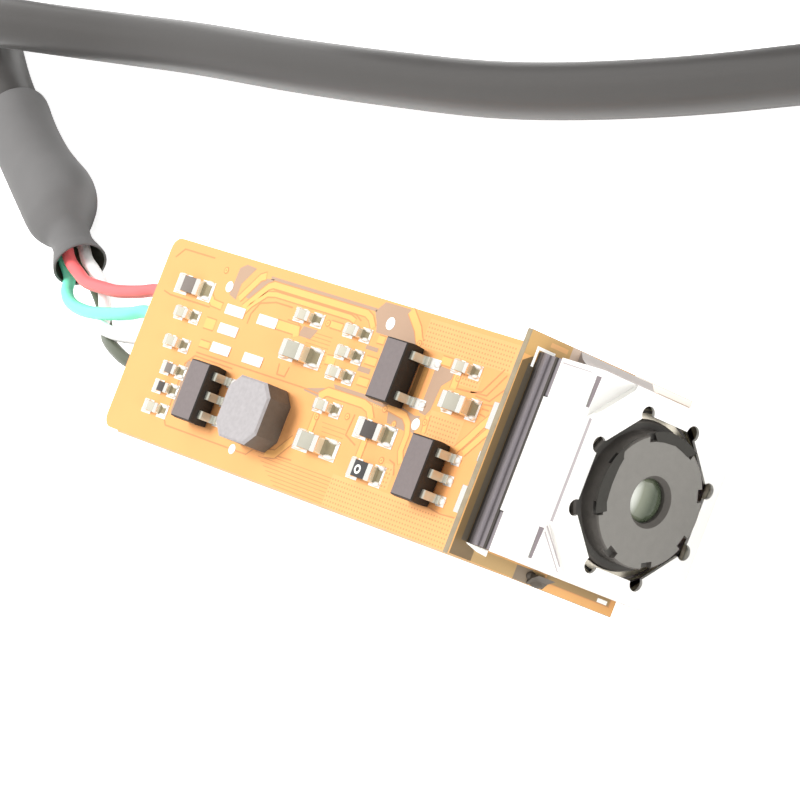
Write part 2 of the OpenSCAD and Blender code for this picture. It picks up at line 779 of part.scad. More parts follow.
module plug_grip() {
    color([0.13, 0.13, 0.14]) difference() {
        union() {
            at_plug(0) rotate([0, 90, 0]) cylinder(r1 = relief_r, r2 = relief_root_r, h = relief_l);
            at_plug(relief_l) rotate([90, 0, 90]) linear_extrude(grip_l) polygon([
                [-grip_w / 2 + 2, -grip_h / 2], [grip_w / 2 - 2, -grip_h / 2],
                [grip_w / 2, -grip_h / 2 + 2], [grip_w / 2, grip_h / 2 - 2],
                [grip_w / 2 - 2, grip_h / 2], [-grip_w / 2 + 2, grip_h / 2],
                [-grip_w / 2, grip_h / 2 - 2], [-grip_w / 2, -grip_h / 2 + 2]]);
        }
        at_plug(shell_back) lying_box(shell_l, shell_w + 0.04, shell_h + 0.04);
    }
}

module plug_shell() {
    color([0.8, 0.8, 0.8]) at_plug(shell_back) difference() {
        lying_box(shell_l, shell_w, shell_h);
        translate([1, 0, 0]) lying_box(shell_l, shell_w - 2 * shell_wall, shell_h - 2 * shell_wall);
        for (y = [-0.27, 0.27] * shell_w)
            translate([shell_l * 0.72, y, -shell_h])
                lying_window(shell_l * 0.13, shell_w / 6, 2 * shell_h);
    }
}

module lying_window(l, w, h) {
    translate([-l / 2, -w / 2, 0]) cube([l, w, h]);
}

module plug_tongue() {
    room = shell_h / 2 - shell_wall;
    color([0.93, 0.93, 0.92]) at_plug(shell_back + 1) {
        translate([0, -shell_w / 2 + shell_wall + 0.03, -room + 0.03])
            cube([shell_l / 6, shell_w - 2 * shell_wall - 0.06, 2 * room - 0.06]);
        translate([0, -shell_w / 2 + shell_wall + 0.03, -room + 0.03])
            cube([shell_l * 0.88, shell_w - 2 * shell_wall - 0.06, tongue_t]);
    }
}

module plug_contacts() {
    room = shell_h / 2 - shell_wall;
    color([0.9, 0.75, 0.35]) at_plug(shell_back + shell_l * 0.23)
        for (i = [-1.5:1:1.5])
            translate([0, (i * 1.8 + sign(i) * 0.8) * shell_w / 12 - shell_w / 24,
                       -room + 0.03 + tongue_t])
                cube([shell_l * (abs(i) < 1 ? 0.6 : 0.66), shell_w / 12, contact_t]);
}

main_board();
camera_board();
board_glue();
image_sensor();
sensor_holder();
ir_filter();
motor_base();
motor_can();
magnets();
focus_coil();
lens_carrier();
front_leaf_spring();
rear_leaf_spring();
lens_barrel();
front_lens();
middle_lens();
rear_lens();
so_body(converter);  // converter_body
so_leads(converter);  // converter_leads
so_body(regulator);  // regulator_body
so_leads(regulator);  // regulator_leads
so_body(monitor);  // monitor_body
so_leads(monitor);  // monitor_leads
inductor();
ferrite_bead();
diode();
zero_link();
edge_capacitors();
bare_pads();
controller_chip();
memory_chip();
crystal();
wire_joints();
red_wire();
green_wire();
white_wire();
black_wire();
shrink_sleeve();
usb_lead();
lead_hank();
plug_lead();
lead_tie();
plug_grip();
plug_shell();
plug_tongue();
plug_contacts();
capacitor(0);  // capacitor_1
capacitor(1);  // capacitor_2
capacitor(2);  // capacitor_3
capacitor(3);  // capacitor_4
capacitor(4);  // capacitor_5
capacitor(5);  // capacitor_6
capacitor(6);  // capacitor_7
capacitor(7);  // capacitor_8
large_capacitor(0);  // large_capacitor_1
large_capacitor(1);  // large_capacitor_2
large_capacitor(2);  // large_capacitor_3
resistor(0);  // resistor_1
resistor(1);  // resistor_2
resistor(2);  // resistor_3
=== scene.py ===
import math

import bmesh
import bpy
from mathutils import Matrix, Vector


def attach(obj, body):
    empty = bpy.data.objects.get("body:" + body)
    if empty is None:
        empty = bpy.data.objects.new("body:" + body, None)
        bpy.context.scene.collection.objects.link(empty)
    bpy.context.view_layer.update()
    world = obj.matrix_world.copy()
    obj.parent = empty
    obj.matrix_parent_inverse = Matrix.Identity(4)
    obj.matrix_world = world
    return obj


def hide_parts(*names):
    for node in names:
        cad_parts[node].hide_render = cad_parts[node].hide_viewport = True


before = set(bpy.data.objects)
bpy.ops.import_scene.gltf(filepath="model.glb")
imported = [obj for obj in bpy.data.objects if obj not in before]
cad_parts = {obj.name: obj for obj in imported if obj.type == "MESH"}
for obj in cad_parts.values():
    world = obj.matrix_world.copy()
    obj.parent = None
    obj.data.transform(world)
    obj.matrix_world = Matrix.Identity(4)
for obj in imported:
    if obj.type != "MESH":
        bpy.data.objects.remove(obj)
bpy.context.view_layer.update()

MM = 0.001
BACK_X, BOARD_Z = 13.125, 4.95      # where the boards meet, in the row frame, in mm
ALONG_X, ALONG_Y, UP = Vector((1, 0, 0)), Vector((0, 1, 0)), Vector((0, 0, 1))
FRONT_X = 0.8                       # the camera board's front face, from where the boards meet


def B(x, y, z):
    """A point counted from the middle of the board's camera end, in mm, in the row frame."""
    return Vector(((x + BACK_X) * MM, y * MM, (z + BOARD_Z) * MM))


def F(x, y, z):
    """The same with the height counted from the floor."""
    return Vector(((x + BACK_X) * MM, y * MM, z * MM))


# ---- camera ----
cam_data = bpy.data.cameras.new("camera")
cam_data.lens = 184.22
cam_data.sensor_width = 36
cam_data.clip_start = 0.005
cam_data.clip_end = 5
cam = bpy.data.objects.new("camera", cam_data)
bpy.context.scene.collection.objects.link(cam)
bpy.context.scene.camera = cam
right = Vector((0.60388994, 0.3592077, -0.71153831))
up = Vector((-0.19940094, 0.93239263, 0.3014685))
back = Vector((0.77172288, -0.04017239, 0.63468888))
cam.matrix_world = Matrix.Translation((0.14134774, -0.00652954, 0.11994981)) @ Matrix(
    (right, up, back)).transposed().to_4x4()


# ---- smooth lines ----
def smooth(p, n):
    """A smooth line through the points p, with n steps between each two."""
    out = []
    for i in range(len(p) - 1):
        a, b, c, d = p[max(i - 1, 0)], p[i], p[i + 1], p[min(i + 2, len(p) - 1)]
        for k in range(n):
            t = k / n
            out.append((2 * b + (c - a) * t + (2 * a - 5 * b + 4 * c - d) * t * t
                        + (3 * b - a - 3 * c + d) * t ** 3) / 2)
    out.append(p[-1])
    return out


def curve(name, points, diameter, material):
    """A closed round tube along points, in metres."""
    data = bpy.data.curves.new(name, "CURVE")
    data.dimensions = "3D"
    data.bevel_depth = diameter / 2
    data.bevel_resolution = 6
    data.use_fill_caps = True
    s = data.splines.new("POLY")
    s.points.add(len(points) - 1)
    for q, p in zip(s.points, points):
        q.co = (*p, 1)
    s.use_smooth = True
    o = bpy.data.objects.new(name, data)
    bpy.context.scene.collection.objects.link(o)
    o.data.materials.append(material)
    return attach(o, "root")


# ---- materials ----
def material(name, color, rough=0.5, metal=0.0, vary=0.06, scale=900.0, bump=0.0, bump_scale=2500.0,
             coat=0.0, spec=0.5, transmission=0.0, sheen=0.0):
    """A Principled material with noise in its color and roughness; vary is the color's share."""
    rough_vary = 0.05
    m = bpy.data.materials.new(name)
    m.use_nodes = True
    nt = m.node_tree
    p = nt.nodes["Principled BSDF"]
    tc = nt.nodes.new("ShaderNodeTexCoord")
    n = nt.nodes.new("ShaderNodeTexNoise")
    n.inputs["Scale"].default_value = scale
    n.inputs["Detail"].default_value = 4
    nt.links.new(tc.outputs["Object"], n.inputs["Vector"])
    mix = nt.nodes.new("ShaderNodeMix")
    mix.data_type = "RGBA"
    lo = tuple(max(0, c * (1 - vary)) for c in color)
    hi = tuple(min(1, c * (1 + vary)) for c in color)
    mix.inputs["A"].default_value = (*lo, 1)
    mix.inputs["B"].default_value = (*hi, 1)
    nt.links.new(n.outputs["Fac"], mix.inputs["Factor"])
    nt.links.new(mix.outputs["Result"], p.inputs["Base Color"])
    r = nt.nodes.new("ShaderNodeMapRange")
    r.inputs["To Min"].default_value = max(0.0, rough - rough_vary)
    r.inputs["To Max"].default_value = min(1.0, rough + rough_vary)
    nt.links.new(n.outputs["Fac"], r.inputs["Value"])
    nt.links.new(r.outputs["Result"], p.inputs["Roughness"])
    p.inputs["Metallic"].default_value = metal
    p.inputs["Specular IOR Level"].default_value = spec
    p.inputs["Coat Weight"].default_value = coat
    p.inputs["Coat Roughness"].default_value = 0.08
    p.inputs["Transmission Weight"].default_value = transmission
    p.inputs["IOR"].default_value = 1.45
    p.inputs["Sheen Weight"].default_value = sheen
    if bump:
        b = nt.nodes.new("ShaderNodeBump")
        b.inputs["Strength"].default_value = bump
        b.inputs["Distance"].default_value = 0.00003
        bn = nt.nodes.new("ShaderNodeTexNoise")
        bn.inputs["Scale"].default_value = bump_scale
        bn.inputs["Detail"].default_value = 3
        nt.links.new(tc.outputs["Object"], bn.inputs["Vector"])
        nt.links.new(bn.outputs["Fac"], b.inputs["Height"])
        nt.links.new(b.outputs["Normal"], p.inputs["Normal"])
    return m


M = {
    "board": material("board amber", (0.84, 0.40, 0.155), 0.35, vary=0.05, scale=350, spec=0.2,
                      bump=0.15, bump_scale=900),
    "board_edge": material("board edge", (0.30, 0.25, 0.17), 0.7, vary=0.25, scale=2500),
    "trace": material("covered copper", (0.90, 0.47, 0.165), 0.3, vary=0.04, scale=700, spec=0.2),
    "bare_base": material("bare base", (0.45, 0.305, 0.215), 0.35, vary=0.06, scale=500, spec=0.2),
    "mesh": material("copper mesh", (0.86, 0.435, 0.18), 0.35, vary=0.05, scale=700, spec=0.2),
    "trace_dark": material("trace outline", (0.60, 0.27, 0.11), 0.4, vary=0.06, scale=700),
    "shade_near": material("shade beside the regulator", (0.26, 0.13, 0.045), 0.5, vary=0.15,
                           scale=1500),
    "shade_far": material("paler shade beside the regulator", (0.56, 0.28, 0.09), 0.5, vary=0.12,
                          scale=1500),
    "rim_shade_line": material("board rim, partly painted shade", (0.55, 0.38, 0.22), 0.5, vary=0.15, scale=1500),
    "silk": material("white print", (0.95, 0.94, 0.90), 0.6, vary=0.03, scale=2500),
    "cam_board_upper_shade": material("camera board upper margin, painted shade", (0.15, 0.097, 0.042), 0.3, vary=0.08, scale=500,
                               coat=0.3),
    "cam_board_front": material("camera board front", (0.68, 0.36, 0.13), 0.3, vary=0.06, scale=500,
                                coat=0.2),
    "cam_board_side_shade": material("camera board side margin, painted shade", (0.42, 0.275, 0.118), 0.4, vary=0.06,
                              scale=500),
    "cam_board_shade": material("camera board shade", (0.075, 0.062, 0.045), 0.4, vary=0.06,
                                scale=500),
    "cam_board_corner_shade": material("camera board upper corner, painted shade", (0.50, 0.30, 0.105), 0.4, vary=0.06,
                               scale=500),
    "cam_board_dusk": material("camera board dusk", (0.20, 0.155, 0.11), 0.4, vary=0.1, scale=900),
    "cam_board_pink": material("camera board pink", (0.55, 0.42, 0.33), 0.4, vary=0.06, scale=500),
    "cam_board_lit_patch": material("camera board, painted light through it", (0.97, 0.90, 0.82), 0.4, vary=0.03, scale=500),
    "cam_board_brown": material("camera board brown", (0.35, 0.23, 0.105), 0.4, vary=0.06,
                                scale=500),
    "glue": material("clear glue", (0.62, 0.56, 0.48), 0.12, vary=0.08, scale=400, coat=0.6,
                     transmission=0.5),
    "glue_grey": material("grey glue", (0.40, 0.36, 0.34), 0.25, vary=0.08, scale=600, coat=0.3),
    "glue_shaded": material("glue in painted shade", (0.09, 0.075, 0.06), 0.45, vary=0.1, scale=900, spec=0.3),
    "base_plastic": material("motor base moulding", (0.245, 0.222, 0.235), 0.6, vary=0.1, bump=0.2),
    "black_plastic": material("black moulding", (0.055, 0.05, 0.045), 0.5, vary=0.1, bump=0.2),
    "can": material("nickel silver can", (0.95, 0.94, 0.91), 0.38, metal=0.45, vary=0.02, scale=300,
                    bump=0.04, bump_scale=600),
    "magnet": material("magnet plating", (0.6, 0.6, 0.62), 0.3, metal=1.0),
    "copper": material("enamelled wire", (0.72, 0.35, 0.16), 0.35, metal=0.8, bump=0.3,
                       bump_scale=6000),
    "spring": material("spring metal", (0.86, 0.80, 0.68), 0.3, metal=1.0),
    "barrel": material("matt barrel", (0.095, 0.087, 0.079), 0.62, vary=0.10, scale=3000, bump=0.25,
                       bump_scale=9000, spec=0.35),
    "barrel_face": material("barrel face", (0.168, 0.161, 0.148), 0.6, vary=0.10, scale=2500,
                            bump=0.25, bump_scale=9000, spec=0.3),
    "barrel_rim": material("barrel rim", (0.060, 0.057, 0.052), 0.6, vary=0.10, scale=2500,
                           bump=0.25, bump_scale=9000, spec=0.3),
    "barrel_shadow": material("painted shadow on the barrel", (0.040, 0.038, 0.034), 0.6, vary=0.15, scale=2500,
                           spec=0.15),
    "carrier": material("carrier moulding", (0.07, 0.065, 0.06), 0.5, vary=0.1),
    "lens": material("lens glass", (0.13, 0.15, 0.11), 0.05, vary=0.05, scale=600, coat=0.6,
                     spec=0.6),
    "inner_lens": material("inner glass", (0.5, 0.6, 0.55), 0.05, vary=0.03, transmission=0.9),
    "filter": material("filter glass", (0.45, 0.65, 0.75), 0.05, vary=0.03, transmission=0.8),
    "sensor": material("sensor die", (0.12, 0.14, 0.18), 0.15, vary=0.15, scale=4000, coat=0.5),
    "chip_black": material("moulded chip", (0.20, 0.172, 0.17), 0.6, vary=0.10, scale=5000,
                           bump=0.35, bump_scale=9000, spec=0.3),
    "chip_shaded_side": material("moulded chip side, painted shade", (0.022, 0.02, 0.018), 0.55, vary=0.12, scale=5000,
                          bump=0.3, bump_scale=9000),
    "under_chip": material("chip underside", (0.05, 0.05, 0.05), 0.5, vary=0.1, bump=0.3),
    "tin": material("tinned metal", (0.88, 0.87, 0.83), 0.22, metal=1.0, vary=0.05, scale=2500,
                    bump=0.15, bump_scale=3000),
    "lead_metal": material("lead metal", (0.60, 0.60, 0.52), 0.35, metal=0.55, vary=0.08,
                           scale=2500, bump=0.15, bump_scale=3000),
    "crease_shade": material("can creases and slits, painted shade", (0.42, 0.38, 0.39), 0.45, vary=0.05, scale=900),
    "gap_shadow": material("can gaps, painted shadow", (0.20, 0.17, 0.18), 0.5, vary=0.1, scale=900),
    "band": material("moulding band", (0.13, 0.118, 0.122), 0.6, vary=0.1, scale=1500, bump=0.2),
    "solder": material("solder", (0.95, 0.94, 0.90), 0.3, metal=0.5, vary=0.05, scale=2500,
                       bump=0.2, bump_scale=3500),
    "solder_dark": material("shaded solder", (0.34, 0.29, 0.18), 0.35, metal=0.3, vary=0.2,
                            scale=2500),
    "end_face": material("terminal end", (0.80, 0.72, 0.53), 0.4, metal=0.3, vary=0.15, scale=2500),
    "pad": material("bright pad", (0.97, 0.96, 0.93), 0.35, metal=0.4, vary=0.03, scale=2500),
    "ferrite": material("ferrite top", (0.385, 0.365, 0.37), 0.6, vary=0.16, scale=5000, bump=0.5,
                        bump_scale=6000, spec=0.3),
    "ferrite_shaded_side": material("ferrite side, painted shade", (0.115, 0.10, 0.085), 0.5, vary=0.2, scale=3500,
                             bump=0.4, bump_scale=5000),
    "ceramic": material("ceramic body", (0.50, 0.47, 0.38), 0.4, vary=0.08, scale=1800),
    "ceramic_large": material("large ceramic body", (0.40, 0.385, 0.32), 0.4, vary=0.08,
                              scale=1800),
    "ceramic_black": material("black body", (0.05, 0.048, 0.048), 0.4, vary=0.1, scale=1800),
    "ceramic_grey": material("grey body", (0.20, 0.17, 0.15), 0.45, vary=0.1, scale=1800),
    "ceramic_dark": material("dark body", (0.07, 0.06, 0.055), 0.4, vary=0.1, scale=1800),
    "red": material("red insulation", (0.95, 0.175, 0.18), 0.4, vary=0.04, scale=900, spec=0.4),
    "green": material("green insulation", (0.23, 0.91, 0.62), 0.4, vary=0.04, scale=900, spec=0.4),
    "white": material("white insulation", (0.95, 0.95, 0.94), 0.4, vary=0.02, scale=900, spec=0.4),
    "black": material("black insulation", (0.085, 0.095, 0.065), 0.4, vary=0.08, scale=900,
                      spec=0.4),
    "sleeve": material("shrink sleeve", (0.15, 0.147, 0.146), 0.6, vary=0.14, scale=500, bump=0.35,
                       bump_scale=900, spec=0.4),
    "sleeve_dark": material("sleeve mouth", (0.04, 0.037, 0.03), 0.5, vary=0.1, scale=900),
    "jacket": material("lead jacket", (0.052, 0.049, 0.047), 0.36, vary=0.06, scale=600, bump=0.12,
                       bump_scale=1500, spec=0.5, sheen=0.12),
    "plug_black": material("plug moulding", (0.12, 0.12, 0.12), 0.5, vary=0.08, bump=0.3),
    "steel": material("plug shell", (0.75, 0.75, 0.74), 0.25, metal=1.0, vary=0.04),
    "tongue": material("plug tongue", (0.85, 0.85, 0.83), 0.5),
    "gold": material("contacts", (0.95, 0.75, 0.35), 0.2, metal=1.0),
}

PAINT = {
    "main_board": "board", "camera_board": "cam_board_front", "board_glue": "glue",
    "image_sensor": "sensor", "sensor_holder": "black_plastic", "ir_filter": "filter",
    "motor_base": "base_plastic", "motor_can": "can", "magnets": "magnet", "focus_coil": "copper",
    "lens_carrier": "carrier", "front_leaf_spring": "spring", "rear_leaf_spring": "spring",
    "lens_barrel": "barrel", "front_lens": "lens", "middle_lens": "inner_lens",
    "rear_lens": "inner_lens", "converter_body": "chip_black", "regulator_body": "chip_black",
    "monitor_body": "chip_black", "converter_leads": "tin", "regulator_leads": "tin",
    "monitor_leads": "tin", "inductor": "ferrite", "ferrite_bead": "ceramic_dark",
    "diode": "ceramic_dark", "zero_link": "ceramic_dark", "edge_capacitors": "ceramic",
    "bare_pads": "pad", "controller_chip": "under_chip", "memory_chip": "under_chip",
    "crystal": "tin", "wire_joints": "solder", "red_wire": "red", "green_wire": "green",
    "white_wire": "white", "black_wire": "black", "shrink_sleeve": "sleeve", "usb_lead": "jacket",
    "lead_hank": "jacket", "plug_lead": "jacket", "lead_tie": "plug_black",
    "plug_grip": "plug_black", "plug_shell": "steel", "plug_tongue": "tongue",
    "plug_contacts": "gold",
}


def paint(o, name):
    o.data.materials.clear()
    o.data.materials.append(M[name])


for name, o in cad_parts.items():
    key = PAINT.get(name)
    if key is None:
        key = "ceramic_grey" if name.startswith("resistor") else "ceramic"
    paint(o, key)


# ---- building pieces ----
def rect(u0, u1, v0, v1):
    """The corners of a rectangle."""
    return [(u0, v0), (u1, v0), (u1, v1), (u0, v1)]


class Piece:
    """Gathers solids with several materials into one mesh."""

    def __init__(self, name, body="root"):
        self.name, self.body = name, body
        self.bm = bmesh.new()
        self.mats = []

    def box(self, lo, hi, mat, bevel=0.0, segments=2):
        """lo, hi: corners in the row frame, in metres."""
        bm = bmesh.new()
        bmesh.ops.create_cube(bm, size=1)
        size = hi - lo
        mid = (hi + lo) / 2
        for v in bm.verts:
            v.co = Vector((v.co.x * size.x, v.co.y * size.y, v.co.z * size.z)) + mid
        if bevel:
            bmesh.ops.bevel(bm, geom=bm.edges[:], offset=bevel * MM, segments=segments,
                            profile=0.5, affect="EDGES")
        self.take(bm, mat)

    def prism(self, outline, way, depth, mat, bevel=0.0):
        """outline: points of one flat face in the row frame; the prism runs from it along way."""
        bm = bmesh.new()
        n = len(outline)
        a = [bm.verts.new(p) for p in outline]
        b = [bm.verts.new(p + way * depth) for p in outline]
        bm.faces.new(a)
        bm.faces.new(b[::-1])
        for i in range(n):
            bm.faces.new((a[i], b[i], b[(i + 1) % n], a[(i + 1) % n]))
        bmesh.ops.recalc_face_normals(bm, faces=bm.faces[:])
        if bevel:
            bmesh.ops.bevel(bm, geom=bm.edges[:], offset=bevel * MM, segments=2, profile=0.5,
                            affect="EDGES")
        self.take(bm, mat)

    def blob(self, mid, radii, mat, cut=None, u=16, v=10):
        """A rounded lump; cut leaves only what is above that height in the row frame."""
        bm = bmesh.new()
        bmesh.ops.create_uvsphere(bm, u_segments=u, v_segments=v, radius=1)
        for w in bm.verts:
            w.co = Vector((w.co.x * radii[0], w.co.y * radii[1], w.co.z * radii[2])) * MM + mid
        if cut is not None:
            bmesh.ops.bisect_plane(bm, geom=bm.verts[:] + bm.edges[:] + bm.faces[:],
                                   plane_co=(0, 0, cut), plane_no=(0, 0, 1), clear_inner=True)
        self.take(bm, mat)

    def take(self, bm, mat):
        """Adds the faces of bm, all in one material."""
        if mat not in self.mats:
            self.mats.append(mat)
        tmp = bpy.data.meshes.new("tmp")
        bm.to_mesh(tmp)
        bm.free()
        start = len(self.bm.faces)
        self.bm.from_mesh(tmp)
        self.bm.faces.ensure_lookup_table()
        for f in self.bm.faces[start:]:
            f.material_index = self.mats.index(mat)
        bpy.data.meshes.remove(tmp)

    def done(self, replaces=(), smooth_angle=35):
        me = bpy.data.meshes.new(self.name)
        self.bm.to_mesh(me)
        self.bm.free()
        for m in self.mats:
            me.materials.append(M[m])
        o = bpy.data.objects.new(self.name, me)
        bpy.context.scene.collection.objects.link(o)
        me.shade_smooth()
        me.set_sharp_from_angle(angle=math.radians(smooth_angle))
        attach(o, self.body)
        if replaces:
            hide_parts(*replaces)
        return o


def soften(node, mat, width, segments=2, body="root", sharp=30):
    """A copy of a CAD node with its edges rounded by width; shading is smooth below sharp degrees."""
    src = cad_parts[node]
    me = src.data.copy()
    me.name = node + " rounded"
    o = bpy.data.objects.new(node + "_rounded", me)
    bpy.context.scene.collection.objects.link(o)
    bm = bmesh.new()
    bm.from_mesh(me)
    bmesh.ops.remove_doubles(bm, verts=bm.verts[:], dist=1e-7)
    bmesh.ops.dissolve_limit(bm, angle_limit=math.radians(1), verts=bm.verts[:], edges=bm.edges[:])
    bm.to_mesh(me)
    bm.free()
    me.materials.clear()
    me.materials.append(M[mat])
    mod = o.modifiers.new("round", "BEVEL")
    mod.width = width * MM
    mod.segments = segments
    mod.limit_method = "ANGLE"
    mod.angle_limit = math.radians(30)
    mod.harden_normals = True
    me.shade_smooth()
    me.set_sharp_from_angle(angle=math.radians(sharp))
    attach(o, body)
    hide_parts(node)
    return o


# ---- wires ----
def in_sleeve(s, off=(0, 0)):
    """A point in the sleeve: s mm along it from its mouth, then across and up from its axis."""
    t = math.radians(147.5)
    return F(-43.1 + s * math.cos(t) - off[0] * math.sin(t),
             2.4 + s * math.sin(t) + off[0] * math.cos(t), 1.85 + off[1])


# color, place across the board, route from the board, places in the sleeve's mouth
WIRES = {
    "red_wire": (
        "red", 2.2,
        [(-33.6, 2.2, -1.35), (-35.1, 1.9, -1.5), (-37.3, 1.6, -1.8), (-39.3, 1.55, -2.1),
         (-41, 1.6, -2.4), (-42.1, 1.9, -2.55)],
        [(0.05, 0.6), (-0.1, 0.6), (-0.33, 0.33)]),
    "green_wire": (
        "green", 0.95,
        [(-33.8, 1.05, -1.35), (-35.3, 0.7, -1.5), (-37.4, 0.4, -1.85), (-39.9, 0.2, -2.35),
         (-42, 0.35, -2.75), (-43, 0.85, -2.9)],
        [(0.92, -0.02), (0.62, 0.25), (0.33, 0.33)]),
    "white_wire": (
        "white", -0.3,
        [(-33.6, -0.3, -1.45), (-35.6, -0.45, -1.65), (-37.8, -0.33, -2.1), (-38.95, 0.15, -2.8),
         (-39.7, 0.85, -3.05), (-40.6, 1.65, -3.2), (-41.9, 2.3, -3.25)],
        [(-0.4, -0.15), (-0.4, -0.3), (-0.33, -0.33)]),
    "black_wire": (
        "black", -1.55,
        [(-33.9, -1.5, -1.4), (-36, -1.15, -1.95), (-37.9, -0.75, -2.7), (-39.5, -0.25, -3.55),
         (-41.1, 0.85, -3.85), (-42.3, 1.6, -3.9)],
        [(0.3, -0.75), (0.33, -0.5), (0.33, -0.33)]),
}
WIRE_D = 0.65
for name, (mat, y, route, mouth) in WIRES.items():
    pts = [B(-30.7, y, -1.155), B(-31.9, y, -1.155)] + [B(*p) for p in route] + [
        in_sleeve(0, mouth[0]), in_sleeve(1.1, mouth[1]), in_sleeve(2.4, mouth[2]),
        in_sleeve(4.4, mouth[2])]
    o = curve(name + "_round", smooth(pts, 8), WIRE_D * MM, M[mat])
    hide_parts(name)


# ---- shrink sleeve: shrunk unevenly, its shoulder fuller on the board's side ----
def sleeve_skin(piece, sections, mat):
    """A skin through ovals: place along the sleeve, half width, half height, shift across."""
    bm = bmesh.new()
    n = 48
    rings = []
    for q in smooth([Vector(v) for v in sections], 5):
        ring = []
        for k in range(n):
            a = k / n * math.tau
            off = (q[1] * math.cos(a) + q[3], q[2] * math.sin(a))
            ring.append(bm.verts.new(in_sleeve(q[0], off)))
        rings.append(ring)
    for r0, r1 in zip(rings, rings[1:]):
        for k in range(n):
            bm.faces.new((r0[k], r0[(k + 1) % n], r1[(k + 1) % n], r1[k]))
    bmesh.ops.recalc_face_normals(bm, faces=bm.faces[:])
    piece.take(bm, mat)


# ---- lead: its visible lay, four turns folded into a hank, and the way to the plug ----
LEAD_D = 2.65
LEAD_ROUTE = [
    (-57.3, 11.4, 1.55), (-59.4, 13, 1.33), (-61, 15.2, 1.33), (-62.1, 18.3, 1.33),
    (-62.5, 22.3, 1.33), (-63, 27.1, 1.33), (-66.9, 32.2, 1.33), (-73, 34.1, 1.33),
    (-79.1, 32.2, 1.33), (-83, 27.1, 1.33), (-83.4, 21.7, 1.33), (-81.1, 16.7, 1.33),
    (-76.7, 13.4, 1.4), (-72.5, 12.5, 1.8), (-68, 12.3, 2.8), (-63.6, 12.4, 3.9),
    (-59.4, 12.7, 4.3), (-55, 13.15, 3.9), (-50.5, 13.7, 2.8), (-46, 14.25, 1.75),
    (-41, 14.65, 1.35), (-33, 14.95, 1.33), (-25, 15.4, 1.33), (-17, 16.05, 1.33), (-9, 17.3, 1.33),
    (-1, 19, 1.33), (5, 20.7, 1.33), (10.2, 23.8, 1.33), (13.7, 28.5, 1.33), (14.9, 34, 1.33),
    (13.5, 39.4, 1.4), (9.6, 43.9, 1.55), (4.5, 46.3, 1.75)]
HANK_AT, HANK_RUN, HANK_IN, STEP, TIE_T = (-19, 36.2), 40, 8.0, 2.7, 0.5
TURNS = [(1, 0), (0, 0), (0, 1), (1, 1)]      # column (0 is the inner one) and layer of each turn
PLUG_ROUTE = [
    (-12, 46.9, 4.6), (-19, 46.9, 5), (-26, 46.9, 5.9), (-33, 46.9, 6.9), (-39, 46.7, 7.3),
    (-43.6, 45.2, 7.3), (-46.7, 41.2, 7.3), (-46.5, 36, 7.3), (-43.4, 32.2, 7.3),
    (-38.6, 31, 7.3), (-34.5, 32, 7.4), (-30.6, 34.2, 8.2), (-27.2, 35.8, 9.3), (-24, 36.2, 9.82)]


def ease(t):
    """From 0 to 1, slow at both ends."""
    t = min(max(t, 0), 1)
    return t * t * (3 - 2 * t)


def hank_line():
    """Turns from the right end of the far side; each steps to the next place in the right fold."""
    pts = []
    half = HANK_RUN / 2
    for (col, row), (col2, row2) in zip(TURNS, TURNS[1:]):
        r = HANK_IN + col * STEP
        z = TIE_T + STEP / 2 + row * STEP
        for k in range(1, 9):
            pts.append((half - k / 8 * HANK_RUN, r, z))
        for k in range(1, 17):
            a = math.pi / 2 + k / 16 * math.pi
            pts.append((-half + r * math.cos(a), r * math.sin(a), z))
        for k in range(1, 9):
            pts.append((-half + k / 8 * HANK_RUN, -r, z))
        for k in range(1, 17):
            a = -math.pi / 2 + k / 16 * math.pi
            m = ease(k / 16)
            q = r + (col2 - col) * STEP * m
            pts.append((half + q * math.cos(a), q * math.sin(a), z + (row2 - row) * STEP * m))
    return [F(HANK_AT[0] + x, HANK_AT[1] + y, z) for x, y, z in pts]


hank = hank_line()
head = smooth([in_sleeve(5), in_sleeve(9), in_sleeve(12.5), in_sleeve(14.5)]
              + [F(*p) for p in LEAD_ROUTE] + hank[:1], 6)
tail = smooth(hank[-1:] + [F(*p) for p in PLUG_ROUTE], 6)
lead_pts = head + hank[1:] + tail[1:]
for q in lead_pts:                       # never below the surface it lies on
    q.z = max(q.z, (LEAD_D / 2 + 0.003) * MM)
lead = curve("lead_jacket", lead_pts, LEAD_D * MM, M["jacket"])
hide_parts("usb_lead", "lead_hank", "plug_lead")

